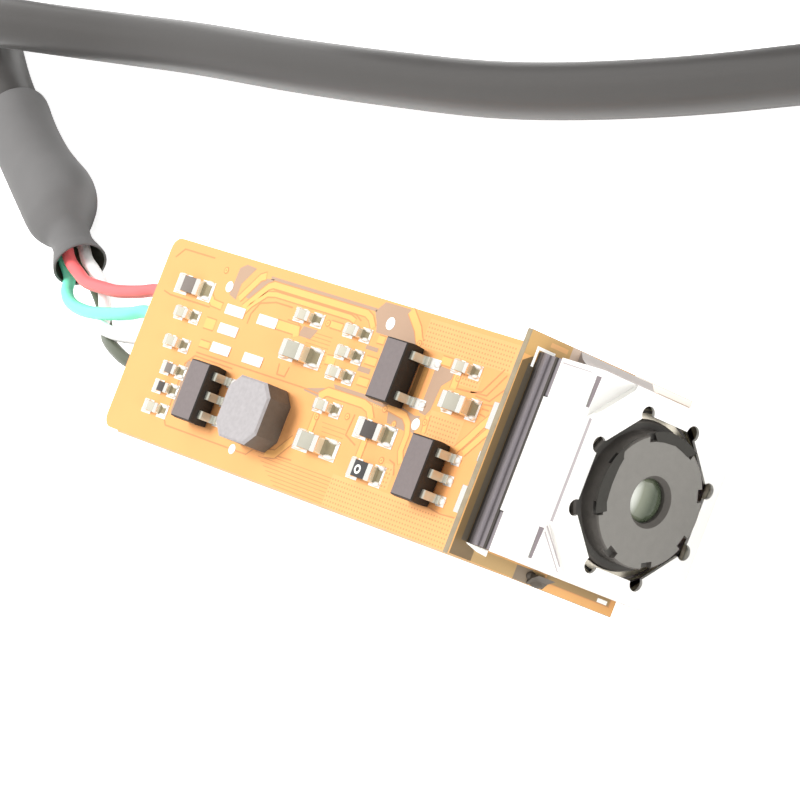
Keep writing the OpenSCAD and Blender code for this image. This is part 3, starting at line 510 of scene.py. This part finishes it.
# ---- small chips ----
# node, distance from the camera board, place across, [length, width, height, cap], body, solder
CHIPS = [
    ("capacitor_1", 28.7, 1.45, (1.0, 0.5, 0.5, 0.25), "ceramic", 0.5),
    ("capacitor_2", 28.65, 0.0, (1.0, 0.5, 0.5, 0.25), "ceramic", 0.5),
    ("capacitor_3", 19.85, 3.05, (1.0, 0.5, 0.5, 0.25), "ceramic", 0.6),
    ("capacitor_4", 16.1, 3.05, (1.0, 0.5, 0.5, 0.25), "ceramic", 0.5),
    ("capacitor_5", 16.1, 2.0, (1.0, 0.5, 0.5, 0.25), "ceramic", 0.5),
    ("capacitor_6", 16.2, 1.0, (1.0, 0.5, 0.5, 0.25), "ceramic", 0.5),
    ("capacitor_7", 16.2, -0.6, (1.0, 0.5, 0.5, 0.25), "ceramic", 0.5),
    ("capacitor_8", 8.05, 2.95, (1.0, 0.5, 0.5, 0.25), "ceramic", 0.5),
    ("large_capacitor_1", 19.4, 1.35, (1.6, 0.8, 0.7, 0.35), "ceramic_large", 0.75),
    ("large_capacitor_2", 16.0, -2.35, (1.6, 0.8, 0.7, 0.35), "ceramic_large", 0.8),
    ("large_capacitor_3", 7.5, 1.35, (1.6, 0.8, 0.7, 0.35), "ceramic_large", 0.4),
    ("resistor_1", 28.15, -1.25, (1.0, 0.5, 0.35, 0.25), "ceramic_grey", 0.5),
    ("resistor_2", 28.2, -2.2, (1.0, 0.5, 0.35, 0.25), "ceramic_dark", 0.5),
    ("resistor_3", 28.4, -3.25, (1.0, 0.5, 0.35, 0.25), "ceramic", 0.5),
    ("ferrite_bead", 28.95, 2.8, (1.6, 0.8, 0.45, 0.35), "ceramic_grey", 0.7),
    ("diode", 12.4, -0.95, (1.6, 0.8, 0.45, 0.35), "ceramic_dark", 0.65),
    ("zero_link", 12.0, -2.75, (1.6, 0.8, 0.45, 0.35), "ceramic_black", 0.45),
]
EDGE = [(3.55, 1.3, (2.0, 1.25, 0.9, 0.45)), (4.25, -0.5, (1.0, 0.5, 0.5, 0.25)),
        (3.55, -2.5, (2.0, 1.25, 0.9, 0.45))]


def chip(piece, x, y, size, body):
    """A two-ended chip: its body, its metal caps and their paler end faces."""
    l, w, h, cap = size
    piece.box(B(-x - l / 2 + cap * 0.8, y - w / 2 + 0.02, 0.02),
              B(-x + l / 2 - cap * 0.8, y + w / 2 - 0.02, h - 0.015), body, 0.02)
    for s in (-1, 1):
        x0, x1 = sorted((-x + s * (l / 2 - cap), -x + s * l / 2))
        piece.box(B(x0, y - w / 2, 0), B(x1, y + w / 2, h), "tin", min(0.05, h * 0.12), 3)
        e = -x + s * (l / 2 + 0.004)
        piece.box(B(e - 0.006, y - w / 2 + 0.06, 0.02), B(e + 0.006, y + w / 2 - 0.06, h - 0.08),
                  "end_face")


def solder(piece, x, y, size, reach):
    """At each end a bright pad, a hollow fillet, and two bright ridges at its sides."""
    l, w, h, cap = size
    for s in (-1, 1):
        end = -x + s * l / 2
        x0, x1 = sorted((end - s * cap, end + s * reach))
        piece.box(B(x0, y - w / 2 - 0.12, 0.0), B(x1, y + w / 2 + 0.06, 0.025), "pad", 0.01)
        prof = [(0, 0.0), (reach * 0.75, 0.0), (reach * 0.75, 0.03), (reach * 0.45, 0.1),
                (reach * 0.2, h * 0.25), (0, h * 0.45)]
        piece.prism([B(end + s * (px - 0.02), y - w / 2 + 0.05, pz) for px, pz in prof],
                    ALONG_Y, (w - 0.1) * MM, "solder_dark", 0.015)
        for side in (-1, 1):
            piece.blob(B(end + s * reach * 0.45, y + side * (w / 2 - 0.03), 0.02),
                       (reach * 0.52, 0.085 + w * 0.06, 0.06 + h * 0.22), "solder",
                       BOARD_Z * MM, 14, 8)


for node, x, y, size, body, reach in CHIPS:
    p = Piece(node + "_chip")
    chip(p, x, y, size, body)
    p.done([node])
    p = Piece(node + "_solder")
    solder(p, x, y, size, reach)
    p.done()
p = Piece("edge_capacitor_chips")
for x, y, size in EDGE:
    chip(p, x, y, size, "ceramic")
p.done(["edge_capacitors"])
p = Piece("edge_capacitor_solder")
for x, y, size in EDGE:
    l, w, h, cap = size
    p.box(B(-x - l / 2 - 0.35, y - w / 2 - 0.1, 0), B(-x - l / 2 + cap, y + w / 2 + 0.1, 0.03),
          "pad", 0.01)
    p.blob(B(-x - l / 2 - 0.12, y, 0.0), (0.2, w * 0.45, 0.3), "solder", BOARD_Z * MM)
p.done()
p = Piece("link_mark")
n = 28
inner, outer = [[(r * math.cos(k / n * math.tau), r * math.sin(k / n * math.tau)) for k in range(n)]
                for r in (0.12, 0.215)]
for k in range(n):
    k2 = (k + 1) % n
    quad = [inner[k], outer[k], outer[k2], inner[k2]]
    p.prism([B(-12.1 + u, -2.78 + v, 0.44) for u, v in quad], UP, 0.014 * MM, "silk")
p.done()

def join_rings(bm, rings, close_bottom=True):
    """Walls between rings of points, from the lowest up; the top stays open."""
    vs = [[bm.verts.new(q) for q in r] for r in rings]
    n = len(rings[0])
    for r0, r1 in zip(vs, vs[1:]):
        for i in range(n):
            bm.faces.new((r0[i], r0[(i + 1) % n], r1[(i + 1) % n], r1[i]))
    if close_bottom:
        bm.faces.new(vs[0][::-1])
    return vs


# ---- small-outline chips ----
# node, distance from the camera board, place across, leads on its front side and behind it
SO = [("converter", 24.9, -1.92, (-0.95, 0, 0.95), (-0.95, 0, 0.95)),
      ("regulator", 11.95, 1.8, (-0.95, 0.95), (-0.95, 0, 0.95)),
      ("monitor", 7.9, -1.9, (-0.95, 0, 0.95), (-0.95, 0, 0.95))]
SO_W, SO_L, SO_DRAFT = 1.6, 2.9, 0.04
LEAD_SIDE = [(0.78, 0.75), (0.96, 0.75), (1.02, 0.70), (1.10, 0.25), (1.15, 0.17), (1.42, 0.15),
             (1.42, 0.0), (1.08, 0.0), (1.0, 0.06), (0.92, 0.55), (0.88, 0.60), (0.78, 0.60)]


def layer(x, y, z, inset):
    """The corners of a small-outline body at the height z."""
    return [B(u, v, z) for u, v in rect(-x - SO_W / 2 + inset, -x + SO_W / 2 - inset,
                                        y - SO_L / 2 + inset, y + SO_L / 2 - inset)]


for name, x, y, front, behind in SO:
    p = Piece(name + "_moulding")
    rings = [layer(x, y, z, inset) for z, inset in ((0.08, SO_DRAFT), (0.6, 0), (0.75, 0),
                                                   (1.05, SO_DRAFT), (1.1, SO_DRAFT + 0.05))]
    bm = bmesh.new()
    join_rings(bm, rings)
    bmesh.ops.recalc_face_normals(bm, faces=bm.faces[:])
    # the sides take a darker copy of the moulding than the top: painted shade
    p.take(bm, "chip_shaded_side")
    bm = bmesh.new()
    bm.faces.new([bm.verts.new(q) for q in rings[-1]])
    p.take(bm, "chip_black")
    p.done([name + "_body"], 20)
    p = Piece(name + "_gull_leads")
    q = Piece(name + "_lead_solder")
    for side, places in ((1, front), (-1, behind)):
        for dy in places:
            yy = y + dy * side
            p.prism([B(-x + side * a, yy - 0.2, b) for a, b in LEAD_SIDE], ALONG_Y, 0.4 * MM,
                    "lead_metal", 0.02)
            far = 2.1 if name == "regulator" and side > 0 else 1.66
            a, b = sorted((-x + side * 1.1, -x + side * far))
            q.box(B(a, yy - 0.26, 0), B(b, yy + 0.22, 0.025), "pad", 0.01)
            q.blob(B(-x + side * (far - 0.2), yy, 0.02), (0.24, 0.17, 0.10), "solder", BOARD_Z * MM)
    p.done([name + "_leads"])
    q.done()

# ---- inductor ----
CORNER, HALF, HEIGHT, CHAMFER = 0.6, 1.6, 1.4, 0.1


def oct_ring(z, inset):
    """The inductor's eight corners at the height z."""
    a, c = HALF - inset, CORNER
    t = a - 0.2                     # the far side is a little nearer than the CAD's
    pts = [(-a + c, -a), (a - c, -a), (a, -a + c), (a, t - c),
           (a - c, t), (-a + c, t), (-a, t - c), (-a, -a + c)]
    return [B(-20.3 + u, -1.9 + v, z) for u, v in pts]


p = Piece("inductor_moulding")
rings = [oct_ring(0, 0.03), oct_ring(0.1, 0), oct_ring(HEIGHT - CHAMFER, 0),
         oct_ring(HEIGHT, CHAMFER)]
bm = bmesh.new()
join_rings(bm, rings[:3])
# the sides take a darker copy of the ferrite than the top: painted shade
p.take(bm, "ferrite_shaded_side")
bm = bmesh.new()
bm.faces.new(join_rings(bm, rings[2:], False)[1])
p.take(bm, "ferrite")
p.done(["inductor"], 20)


# ---- what is drawn on the board: copper under the cover, bare base and white print ----
def ribbon(piece, pts, width, mat, z):
    """A flat band along points on the board, mitred at its corners."""
    p = [Vector((x, y)) for x, y in pts]
    left, right = [], []
    for i, v in enumerate(p):
        d0 = (v - p[i - 1]).normalized() if i else (p[1] - v).normalized()
        d1 = (p[i + 1] - v).normalized() if i + 1 < len(p) else d0
        n = Vector((-(d0 + d1).y, (d0 + d1).x)).normalized()
        k = width / 2 / max(0.4, n.dot(Vector((-d0.y, d0.x))))
        left.append(v + n * k)
        right.append(v - n * k)
    for i in range(len(p) - 1):
        flat(piece, [left[i], right[i], right[i + 1], left[i + 1]], mat, z)


def flat(piece, pts, mat, z):
    """A thin patch at z mm over the board."""
    bm = bmesh.new()
    bm.faces.new([bm.verts.new(B(x, y, z)) for x, y in pts])
    bmesh.ops.recalc_face_normals(bm, faces=bm.faces[:])
    for f in bm.faces:
        if f.normal.z < 0:
            f.normal_flip()
    piece.take(bm, mat)


def dot(piece, x, y, r, mat, z):
    n = 20
    flat(piece, [(x + r * math.cos(k / n * math.tau), y + r * math.sin(k / n * math.tau))
                 for k in range(n)], mat, z)


def holes(piece, x0, x1, y0, y1, step=0.2, size=0.08):
    """Rows of small openings in a copper field."""
    e = step * 0.6
    flat(piece, rect(x0 - e, x1 + e, y0 - e, y1 + e), "mesh", 0.0035)
    e = size / 2
    for j in range(int((y1 - y0) / step) + 1):
        for i in range(int((x1 - x0) / step) + 1):
            x, y = x0 + i * step, y0 + j * step
            flat(piece, rect(x - e, x + e, y - e, y + e), "trace_dark", 0.005)


art = Piece("board_drawing")
BARE = [
    [(-26.2, 2.95), (-26.15, 4.3), (-25.7, 4.55), (-24.9, 4.5), (-25.6, 3.6), (-25.6, 2.8)],
    [(-24.95, 3.05), (-24.15, 4.15), (-23.3, 4.25), (-24.5, 3.0)],
    [(-23.6, 4.2), (-15.4, 4.2), (-15.4, 4.36), (-23.6, 4.36)],
    [(-15.5, 4.2), (-15.0, 4.75), (-13.2, 4.75), (-12.0, 3.65), (-12.0, 3.3), (-14.9, 3.3),
     (-15.1, 3.7)],
    [(-10.1, 2.75), (-8.8, 2.7), (-8.8, 2.3), (-9.3, 1.9), (-9.4, 0.75), (-9.6, 0.45),
     (-10.1, 0.5)],
    [(-16.4, 0.5), (-12.2, 0.5), (-11.2, 0.45), (-10.3, 0.3), (-9.9, 0.35), (-9.9, -0.5),
     (-10.3, -0.4), (-11.0, 0.05), (-12.0, 0.15), (-13.4, 0.25), (-16.2, 0.3)],
    [(-12.1, 0.1), (-11.0, 0.05), (-10.5, -0.5), (-11.2, -0.45), (-11.9, -0.4)],
    [(-27.4, -0.6), (-27.2, -3.2), (-26.9, -3.3), (-26.9, -0.6)],
    [(-18.3, -0.1), (-16.9, 0.2), (-16.5, 0.0), (-17.1, -0.3), (-18.3, -0.2)],
    [(-20.2, 2.1), (-20.0, 2.6), (-18.9, 2.6), (-19.2, 2.1)],
    [(-15.2, 2.45), (-14.3, 2.45), (-14.3, 2.65), (-15.2, 2.65)],
    [(-15.2, 1.4), (-14.3, 1.4), (-14.3, 1.65), (-15.2, 1.65)],
]
for b in BARE:
    flat(art, b, "bare_base", 0.004)
LINES = [
    ([(-25.35, 2.9), (-24.35, 4.15), (-24.0, 4.3)], 0.34),
    ([(-24.85, 2.55), (-23.55, 3.85), (-23.2, 4.0), (-16.0, 4.0), (-15.6, 3.85), (-15.2, 3.45)],
     0.30),
    ([(-24.6, 2.4), (-24.3, 2.8), (-23.4, 3.5), (-22.8, 3.6), (-17.0, 3.6), (-16.6, 3.5)], 0.22),
    ([(-22.0, 2.3), (-20.4, 2.3), (-20.3, 2.0)], 0.42),
    ([(-26.4, 2.3), (-27.2, 2.35), (-27.8, 2.8)], 0.3),
    ([(-17.1, -0.25), (-16.6, 0.08), (-13.9, 0.08), (-13.4, -0.05), (-13.0, -0.5)], 0.36),
    ([(-12.3, 0.3), (-11.5, 0.22), (-10.9, 0.15), (-10.5, -0.15), (-10.3, -0.6), (-10.3, -1.4),
      (-10.0, -1.9)], 0.30),
    ([(-12.9, -1.35), (-12.9, -2.3)], 0.36),
    ([(-6.85, -0.55), (-6.3, 0.1), (-5.75, 0.85), (-5.3, 1.35)], 0.34),
    ([(-6.3, -0.6), (-5.4, 0.5), (-5.1, 0.8)], 0.30),
    ([(-13.1, 4.7), (-12.2, 4.0), (-11.9, 3.6), (-11.7, 3.4)], 0.40),
    ([(-8.5, 2.65), (-8.5, 1.95)], 0.40),
    ([(-9.9, 3.0), (-9.2, 3.0)], 0.36),
    ([(-17.6, 1.45), (-16.9, 1.5)], 0.40),
    ([(-14.6, 3.05), (-14.1, 3.05)], 0.34),
    ([(-14.9, 2.0), (-14.1, 2.0)], 0.34),
    ([(-14.9, 1.0), (-14.1, 1.0)], 0.34),
    ([(-16.8, -1.0), (-16.8, -1.9)], 0.34),
    ([(-27.2, 1.35), (-26.4, 1.35)], 0.5),
    ([(-27.0, 0.35), (-26.2, 0.35)], 0.3),
    ([(-18.2, 3.05), (-17.3, 3.05)], 0.3),
    ([(-17.7, -2.45), (-18.6, -3.4), (-19.3, -3.5)], 0.35),
    ([(-9.4, 0.45), (-9.3, -0.3)], 0.25),
]
for pts, width in LINES:
    ribbon(art, pts, width + 0.11, "trace_dark", 0.006)
    ribbon(art, pts, width, "trace", 0.009)
THIN = [
    [(-27.0, -0.12), (-18.4, -0.1), (-17.2, -0.15)],
    [(-27.5, -3.55), (-27.2, -3.85), (-20.6, -3.85), (-20.2, -3.5), (-17.3, -3.4)],
    [(-27.4, -3.4), (-27.5, -0.8), (-27.0, -0.3), (-23.9, -0.32)],
    [(-24.1, 1.9), (-24.1, 2.4), (-23.7, 3.0), (-22.6, 3.25), (-21.3, 3.25)],
    [(-23.1, 3.8), (-16.7, 3.8), (-16.2, 3.6)],
    [(-21.3, 2.65), (-20.5, 2.65), (-20.15, 2.5)],
    [(-20.7, 0.6), (-20.6, 0.1), (-20.0, 0.1), (-19.9, 0.6)],
    [(-31.2, 2.2), (-30.6, 2.1), (-27.3, 2.1)],
    [(-31.3, 3.9), (-30.8, 4.4), (-28.3, 4.4)],
    [(-7.0, -0.4), (-6.6, 0.0), (-5.9, 0.95), (-5.6, 1.2)],
    [(-8.4, 2.0), (-7.2, 2.05), (-6.6, 2.2), (-5.7, 3.4)],
    [(-7.3, 2.05), (-6.2, 2.1), (-5.4, 3.2)],
    [(-6.9, 1.95), (-5.9, 1.9), (-5.2, 2.6)],
    [(-6.2, 1.7), (-5.6, 1.75)],
    [(-6.2, 1.5), (-5.7, 1.5)],
    [(-6.2, 1.25), (-5.8, 1.2)],
    [(-10.8, -1.9), (-10.4, -2.0), (-10.15, -2.5)],
    [(-14.2, -0.5), (-14.3, -1.5), (-13.4, -1.8)],
    [(-7.1, -3.3), (-6.3, -3.4), (-5.3, -3.35)],
]
for pts in THIN:
    ribbon(art, pts, 0.07, "trace_dark", 0.007)
flat(art, rect(-11.15, -10.85, 1.05, 2.5), "shade_near", 0.013)
flat(art, [(-10.85, 1.05), (-10.5, 1.1), (-10.5, 2.45), (-10.85, 2.5)], "shade_far", 0.013)
# a darker line along the −y edge: the board's rim seen edge-on, with painted shade
ribbon(art, [(-30.6, -4.89), (0.3, -4.89)], 0.09, "rim_shade_line", 0.006)
# bundles of parallel lines: how many, left end, its step, right end, first y, its step, width
for count, x0, dx, x1, y0, dy, width in ((9, -20.0, 0.3, -5.3, -3.55, 0.17, 0.035),
                                         (7, -16.2, 0.1, -14.4, -1.3, 0.2, 0.03),
                                         (10, -19.6, 0.05, -17.7, 2.45, 0.18, 0.03)):
    for k in range(count):
        y = y0 - k * dy
        ribbon(art, [(x0 + k * dx, y), (x1, y)], width, "trace_dark", 0.003)
for field in ((-11.5, -5.35, 3.42, 4.5), (-8.3, -7.0, 2.3, 2.7), (-9.2, -7.1, -0.3, 0.65),
              (-14.0, -5.35, -4.75, -3.45), (-10.85, -10.35, -3.1, -2.2),
              (-13.3, -12.2, 0.2, 0.5, 0.15, 0.06)):
    holes(art, *field)
VIAS = [(-12.35, 0.15), (-11.4, -0.35), (-11.3, -2.05), (-9.45, 0.15), (-14.65, -0.7),
        (-8.4, 2.45), (-16.7, -1.15), (-11.75, 3.4), (-27.1, 4.0), (-18.4, 3.05)]
for x, y in VIAS:
    dot(art, x, y, 0.17, "trace_dark", 0.010)
    dot(art, x, y, 0.12, "trace", 0.011)
    dot(art, x, y, 0.05, "trace_dark", 0.012)
WHITE_DOTS = [(-26.4, 3.3, 0.27), (-21.7, -3.84, 0.24), (-14.15, 3.87, 0.30), (-9.98, -0.05, 0.27)]
for x, y, r in WHITE_DOTS:
    dot(art, x, y, r, "silk", 0.014)
art.done()

# ---- bare pads ----
BARE_PADS = [(-25.25, 2.28), (-25.25, 1.33), (-25.25, 0.37), (-22.65, 2.28), (-22.65, 0.37)]
p = Piece("bare_pad_faces")
for x, y in BARE_PADS:
    p.box(B(x - 0.78, y - 0.25, 0), B(x + 0.72, y + 0.25, 0.045), "pad", 0.03, 3)
p.done(["bare_pads"])

# ---- sleeve, over the wires' ends and the lead ----
p = Piece("shrink_sleeve_skin")
sleeve_skin(p, [(0, 1.28, 1.28, 0), (0, 1.4, 1.4, 0), (0.45, 1.30, 1.30, 0), (0.9, 1.17, 1.17, 0),
                (1.5, 1.06, 1.04, -0.03), (2.3, 1.16, 1.08, -0.06), (3.0, 1.6, 1.42, -0.12),
                (3.7, 1.98, 1.70, -0.2), (4.5, 2.12, 1.80, -0.24), (5.4, 2.1, 1.83, -0.2),
                (6.6, 1.98, 1.80, -0.04), (8.0, 1.86, 1.77, 0.12), (9.6, 1.80, 1.77, 0.22),
                (11.0, 1.77, 1.76, 0.22), (12.2, 1.74, 1.74, 0.14), (12.55, 1.62, 1.62, 0.1),
                (12.6, 1.3, 1.3, 0)], "sleeve")
sleeve_skin(p, [(0, 1.28, 1.28, 0), (0.8, 1.08, 1.08, 0), (1.5, 0.88, 0.88, 0),
                (2.6, 0.88, 0.88, 0), (3.4, 0.5, 0.5, 0)], "sleeve_dark")
p.done(["shrink_sleeve"], 50)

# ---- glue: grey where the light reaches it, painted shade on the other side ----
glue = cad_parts["board_glue"].data
for key in ("glue_grey", "glue_shaded"):
    glue.materials.append(M[key])
for f in glue.polygons:
    if f.center.x > (BACK_X + 0.75) * MM:
        f.material_index = 1 if f.center.y > 0 else 2

# ---- camera board: orange, with painted shade above the main board where no light shines through it, painted light lower down, and thin bright marks ----
p = Piece("camera_board_faces")
p.box(F(0.5, -BOARD_Z, 0), F(FRONT_X, BOARD_Z, 2 * BOARD_Z), "board_edge", 0.02)
p.box(B(0.494, -4.9, -4.9), B(0.52, 4.9, 4.9), "board")
p.done(["camera_board"])


def on_front(piece, pts, mat, lift=0.004):
    """A flat patch on the camera board's front, its corners as y and height over the main board."""
    bm = bmesh.new()
    bm.faces.new([bm.verts.new(B(FRONT_X + lift, y, z)) for y, z in pts])
    bmesh.ops.recalc_face_normals(bm, faces=bm.faces[:])
    for f in bm.faces:
        if f.normal.x < 0:
            f.normal_flip()
    piece.take(bm, mat)


p = Piece("camera_board_marks")
on_front(p, rect(-4.93, 4.93, -4.93, 4.93), "cam_board_front", 0.002)
# painted shade along the top margin, above the main board, where no light shines through the board
on_front(p, [(-4.9, 4.85), (-4.9, 3.6), (-4.6, 3.4), (-4.3, 3.8), (3.4, 4.0), (4.0, 4.3),
             (3.6, 4.88)], "cam_board_upper_shade")
# painted shade on the upper part of the +y margin
on_front(p, rect(3.9, 4.93, 2.5, 4.93), "cam_board_corner_shade", 0.005)
on_front(p, rect(4.55, 4.75, 2.7, 3.7), "cam_board_front", 0.007)
on_front(p, rect(3.9, 4.93, 1.2, 2.5), "cam_board_pink", 0.005)
# painted light shining through the board, low on the +y margin
on_front(p, rect(3.9, 4.93, -4.93, -1.3), "cam_board_lit_patch", 0.005)
on_front(p, rect(4.45, 4.65, -4.85, -2.9), "cam_board_pink", 0.007)
on_front(p, rect(-4.2, 3.6, 4.19, 4.5), "cam_board_shade", 0.006)
on_front(p, rect(-4.92, -4.3, 0.15, 1.1), "cam_board_dusk", 0.007)
on_front(p, rect(3.5, 4.25, 4.22, 4.37), "silk", 0.012)
on_front(p, rect(4.25, 4.38, 3.3, 4.37), "silk", 0.012)
# painted shade on the −y margin above the main board
on_front(p, rect(-4.9, -4.3, -0.6, 3.6), "cam_board_side_shade", 0.0045)
on_front(p, rect(-4.56, -4.2, -4.6, -0.7), "cam_board_brown", 0.006)
on_front(p, rect(-4.60, -4.56, -4.64, -0.7), "trace_dark", 0.0065)
on_front(p, rect(-4.60, 4.6, -4.66, -4.60), "trace_dark", 0.0065)
on_front(p, rect(4.56, 4.62, -4.66, -0.9), "trace_dark", 0.0065)
on_front(p, rect(-4.54, -4.36, -4.45, -3.85), "silk", 0.012)
p.done()
# two glue blobs on the shaded side, coloured with painted shade
p = Piece("shaded_glue_blobs")
p.blob(B(0.83, -4.72, -0.25), (0.16, 0.24, 0.42), "glue_shaded")
p.blob(B(0.83, -4.55, 0.15), (0.13, 0.2, 0.3), "glue_shaded")
p.done()
p = Piece("corner_bar")
bar = [(-4.22, 4.25), (-4.22, 2.95), (-4.5, 2.95), (-4.45, 3.5), (-4.28, 4.15)]
p.prism([B(FRONT_X, y, z) for y, z in bar], ALONG_X, 0.1 * MM, "silk", 0.02)
p.done()

# ---- rounded copies of the housing pieces ----
soften("motor_can", "can", 0.05, 2, sharp=6)
soften("plug_grip", "plug_black", 0.6, 4)
soften("lead_tie", "plug_black", 0.12, 2)
soften("plug_shell", "steel", 0.06, 2)
barrel = soften("lens_barrel", "barrel", 0.03, 2, body="lens")
barrel.data.materials.append(M["barrel_face"])
barrel.data.materials.append(M["barrel_rim"])
for f in barrel.data.polygons:
    if f.normal.x > 0.95:
        f.material_index = 1 if f.center.x > (BACK_X + 5.5) * MM else 2
barrel.modifiers["round"].material = -1

# painted shadow of the can's edge, cast on two parts of the barrel's face
FACE_X, FACE_R, LENS_Z = 5.65, 2.96, -0.2      # the barrel's face and its middle's height
SHADOW_ARCS = [                                        # two angles, then the inner edge: radius, angle
    (42, 116, [(2.36, 116), (2.41, 107), (2.38, 98), (2.39, 89), (2.42, 79), (2.5, 70), (2.56, 63),
               (2.82, 58), (2.9, 50)]),
    (-29, 24, [(2.54, 20), (2.52, 11), (2.53, -4), (2.5, -15), (2.52, -24)])]
p = Piece("barrel_shadow", body="lens")
for start, end, inner in SHADOW_ARCS:
    rim = [(FACE_R, start + (end - start) * i / 24) for i in range(25)]
    p.prism([B(FACE_X, r * math.cos(math.radians(a)), LENS_Z + r * math.sin(math.radians(a)))
             for r, a in rim + inner], ALONG_X, 0.02 * MM, "barrel_shadow")
p.done()

# the front lens: its colour runs from dark green low down to pale at the top, a painted reflection
lm = M["lens"].node_tree
gc = lm.nodes.new("ShaderNodeTexCoord")
gs = lm.nodes.new("ShaderNodeSeparateXYZ")
lens_reflection_ramp = lm.nodes.new("ShaderNodeValToRGB")
stops = lens_reflection_ramp.color_ramp.elements
stops[0].position, stops[0].color = 0.40, (0.045, 0.058, 0.035, 1)
stops[1].position, stops[1].color = 0.90, (0.90, 0.92, 0.86, 1)
mid = stops.new(0.66)
mid.color = (0.15, 0.165, 0.115, 1)
lm.links.new(gc.outputs["Generated"], gs.inputs["Vector"])
lm.links.new(gs.outputs["Z"], lens_reflection_ramp.inputs["Fac"])
lm.links.new(lens_reflection_ramp.outputs["Color"], lm.nodes["Principled BSDF"].inputs["Base Color"])

# ---- sensor holder, and painted shade on the metal can's creases, slits and gaps ----
p = Piece("sensor_holder_block")
p.box(B(0.81, -4.2, -4.55), B(1.33, 4.2, 4.18), "black_plastic", 0.04)
p.box(B(0.98, -4.21, 4.0), B(1.12, 4.21, 4.195), "band", 0.02)
p.box(B(1.12, -4.21, 4.0), B(1.36, 4.21, 4.195), "base_plastic", 0.02)
p.done(["sensor_holder"])
p = Piece("can_shade_lines")
p.box(B(1.76, -4.2, 3.9), B(1.89, 4.2, 4.07), "black_plastic", 0.01)
# painted shade: flat marks stand for the can's bend, an edge line, the shadow gaps at its corners and
# its two slits
p.prism([B(4.935, -2.25, 3.98), B(4.935, 2.22, 3.98), B(5.01, 2.22, 3.905), B(5.01, -2.25, 3.905)],
        (ALONG_X + UP).normalized(), 0.008 * MM, "crease_shade")
p.prism([B(2.3, 4.02, 4.05), B(4.2, 4.0, 4.05), B(4.2, 4.04, 4.05), B(2.3, 4.08, 4.05)],
        UP, 0.006 * MM, "crease_shade")
for s in (-1, 1):
    far, near = (3.95, 2.6) if s > 0 else (-2.6, -3.95)
    p.prism([B(4.52, far, 4.05), B(4.84, far, 4.05), B(4.76, near, 4.05), B(4.64, near, 4.05)],
            UP, 0.006 * MM, "gap_shadow")
for y in (-2.75, -2.5):
    p.prism([B(4.805, y, 3.93), B(4.805, y - 1.35, 2.5), B(4.805, y - 1.31, 2.46),
             B(4.805, y + 0.04, 3.89)],
            ALONG_X, 0.006 * MM, "crease_shade")
p.done()

# ---- background and light ----
# the sky: stronger where metal mirrors it
world = bpy.data.worlds.new("world")
bpy.context.scene.world = world
world.use_nodes = True
wt = world.node_tree
bg = wt.nodes["Background"]
bg.inputs["Color"].default_value = (1, 0.99, 0.97, 1)
wp = wt.nodes.new("ShaderNodeLightPath")
wm = wt.nodes.new("ShaderNodeMapRange")
wm.inputs["To Min"].default_value = 0.65
wm.inputs["To Max"].default_value = 1.15
wt.links.new(wp.outputs["Is Glossy Ray"], wm.inputs["Value"])
wt.links.new(wm.outputs["Result"], bg.inputs["Strength"])

# the floor: white to the camera, and pale to the object
bpy.ops.mesh.primitive_plane_add(size=6, location=(0, 0, 0))
floor = bpy.context.object
floor.name = "floor"
fm = bpy.data.materials.new("floor")
fm.use_nodes = True
nt = fm.node_tree
p = nt.nodes["Principled BSDF"]
p.inputs["Base Color"].default_value = (0.95, 0.95, 0.94, 1)
p.inputs["Roughness"].default_value = 0.9
p.inputs["Specular IOR Level"].default_value = 0.0
lp = nt.nodes.new("ShaderNodeLightPath")
mul = nt.nodes.new("ShaderNodeMath")
mul.operation = "MULTIPLY"
mul.inputs[1].default_value = 0.8
nt.links.new(lp.outputs["Is Camera Ray"], mul.inputs[0])
p.inputs["Emission Color"].default_value = (1, 1, 1, 1)
nt.links.new(mul.outputs[0], p.inputs["Emission Strength"])
floor.data.materials.append(fm)


def area(name, at, aim, size, power):
    d = bpy.data.lights.new(name, "AREA")
    d.shape = "DISK"
    d.size = size
    d.energy = power
    o = bpy.data.objects.new(name, d)
    bpy.context.scene.collection.objects.link(o)
    o.location = at
    o.rotation_euler = (Vector(aim) - Vector(at)).to_track_quat("-Z", "Y").to_euler()
    return o


key = area("key", (-0.24, 0.06, 0.36), (0, 0, 0), 0.22, 2.5)
key.visible_glossy = False
fill = area("fill", (0.52, -0.06, 0.06), (0.01, 0, 0), 0.3, 2.6)
fill.visible_glossy = False

scene = bpy.context.scene
scene.view_settings.view_transform = "Standard"
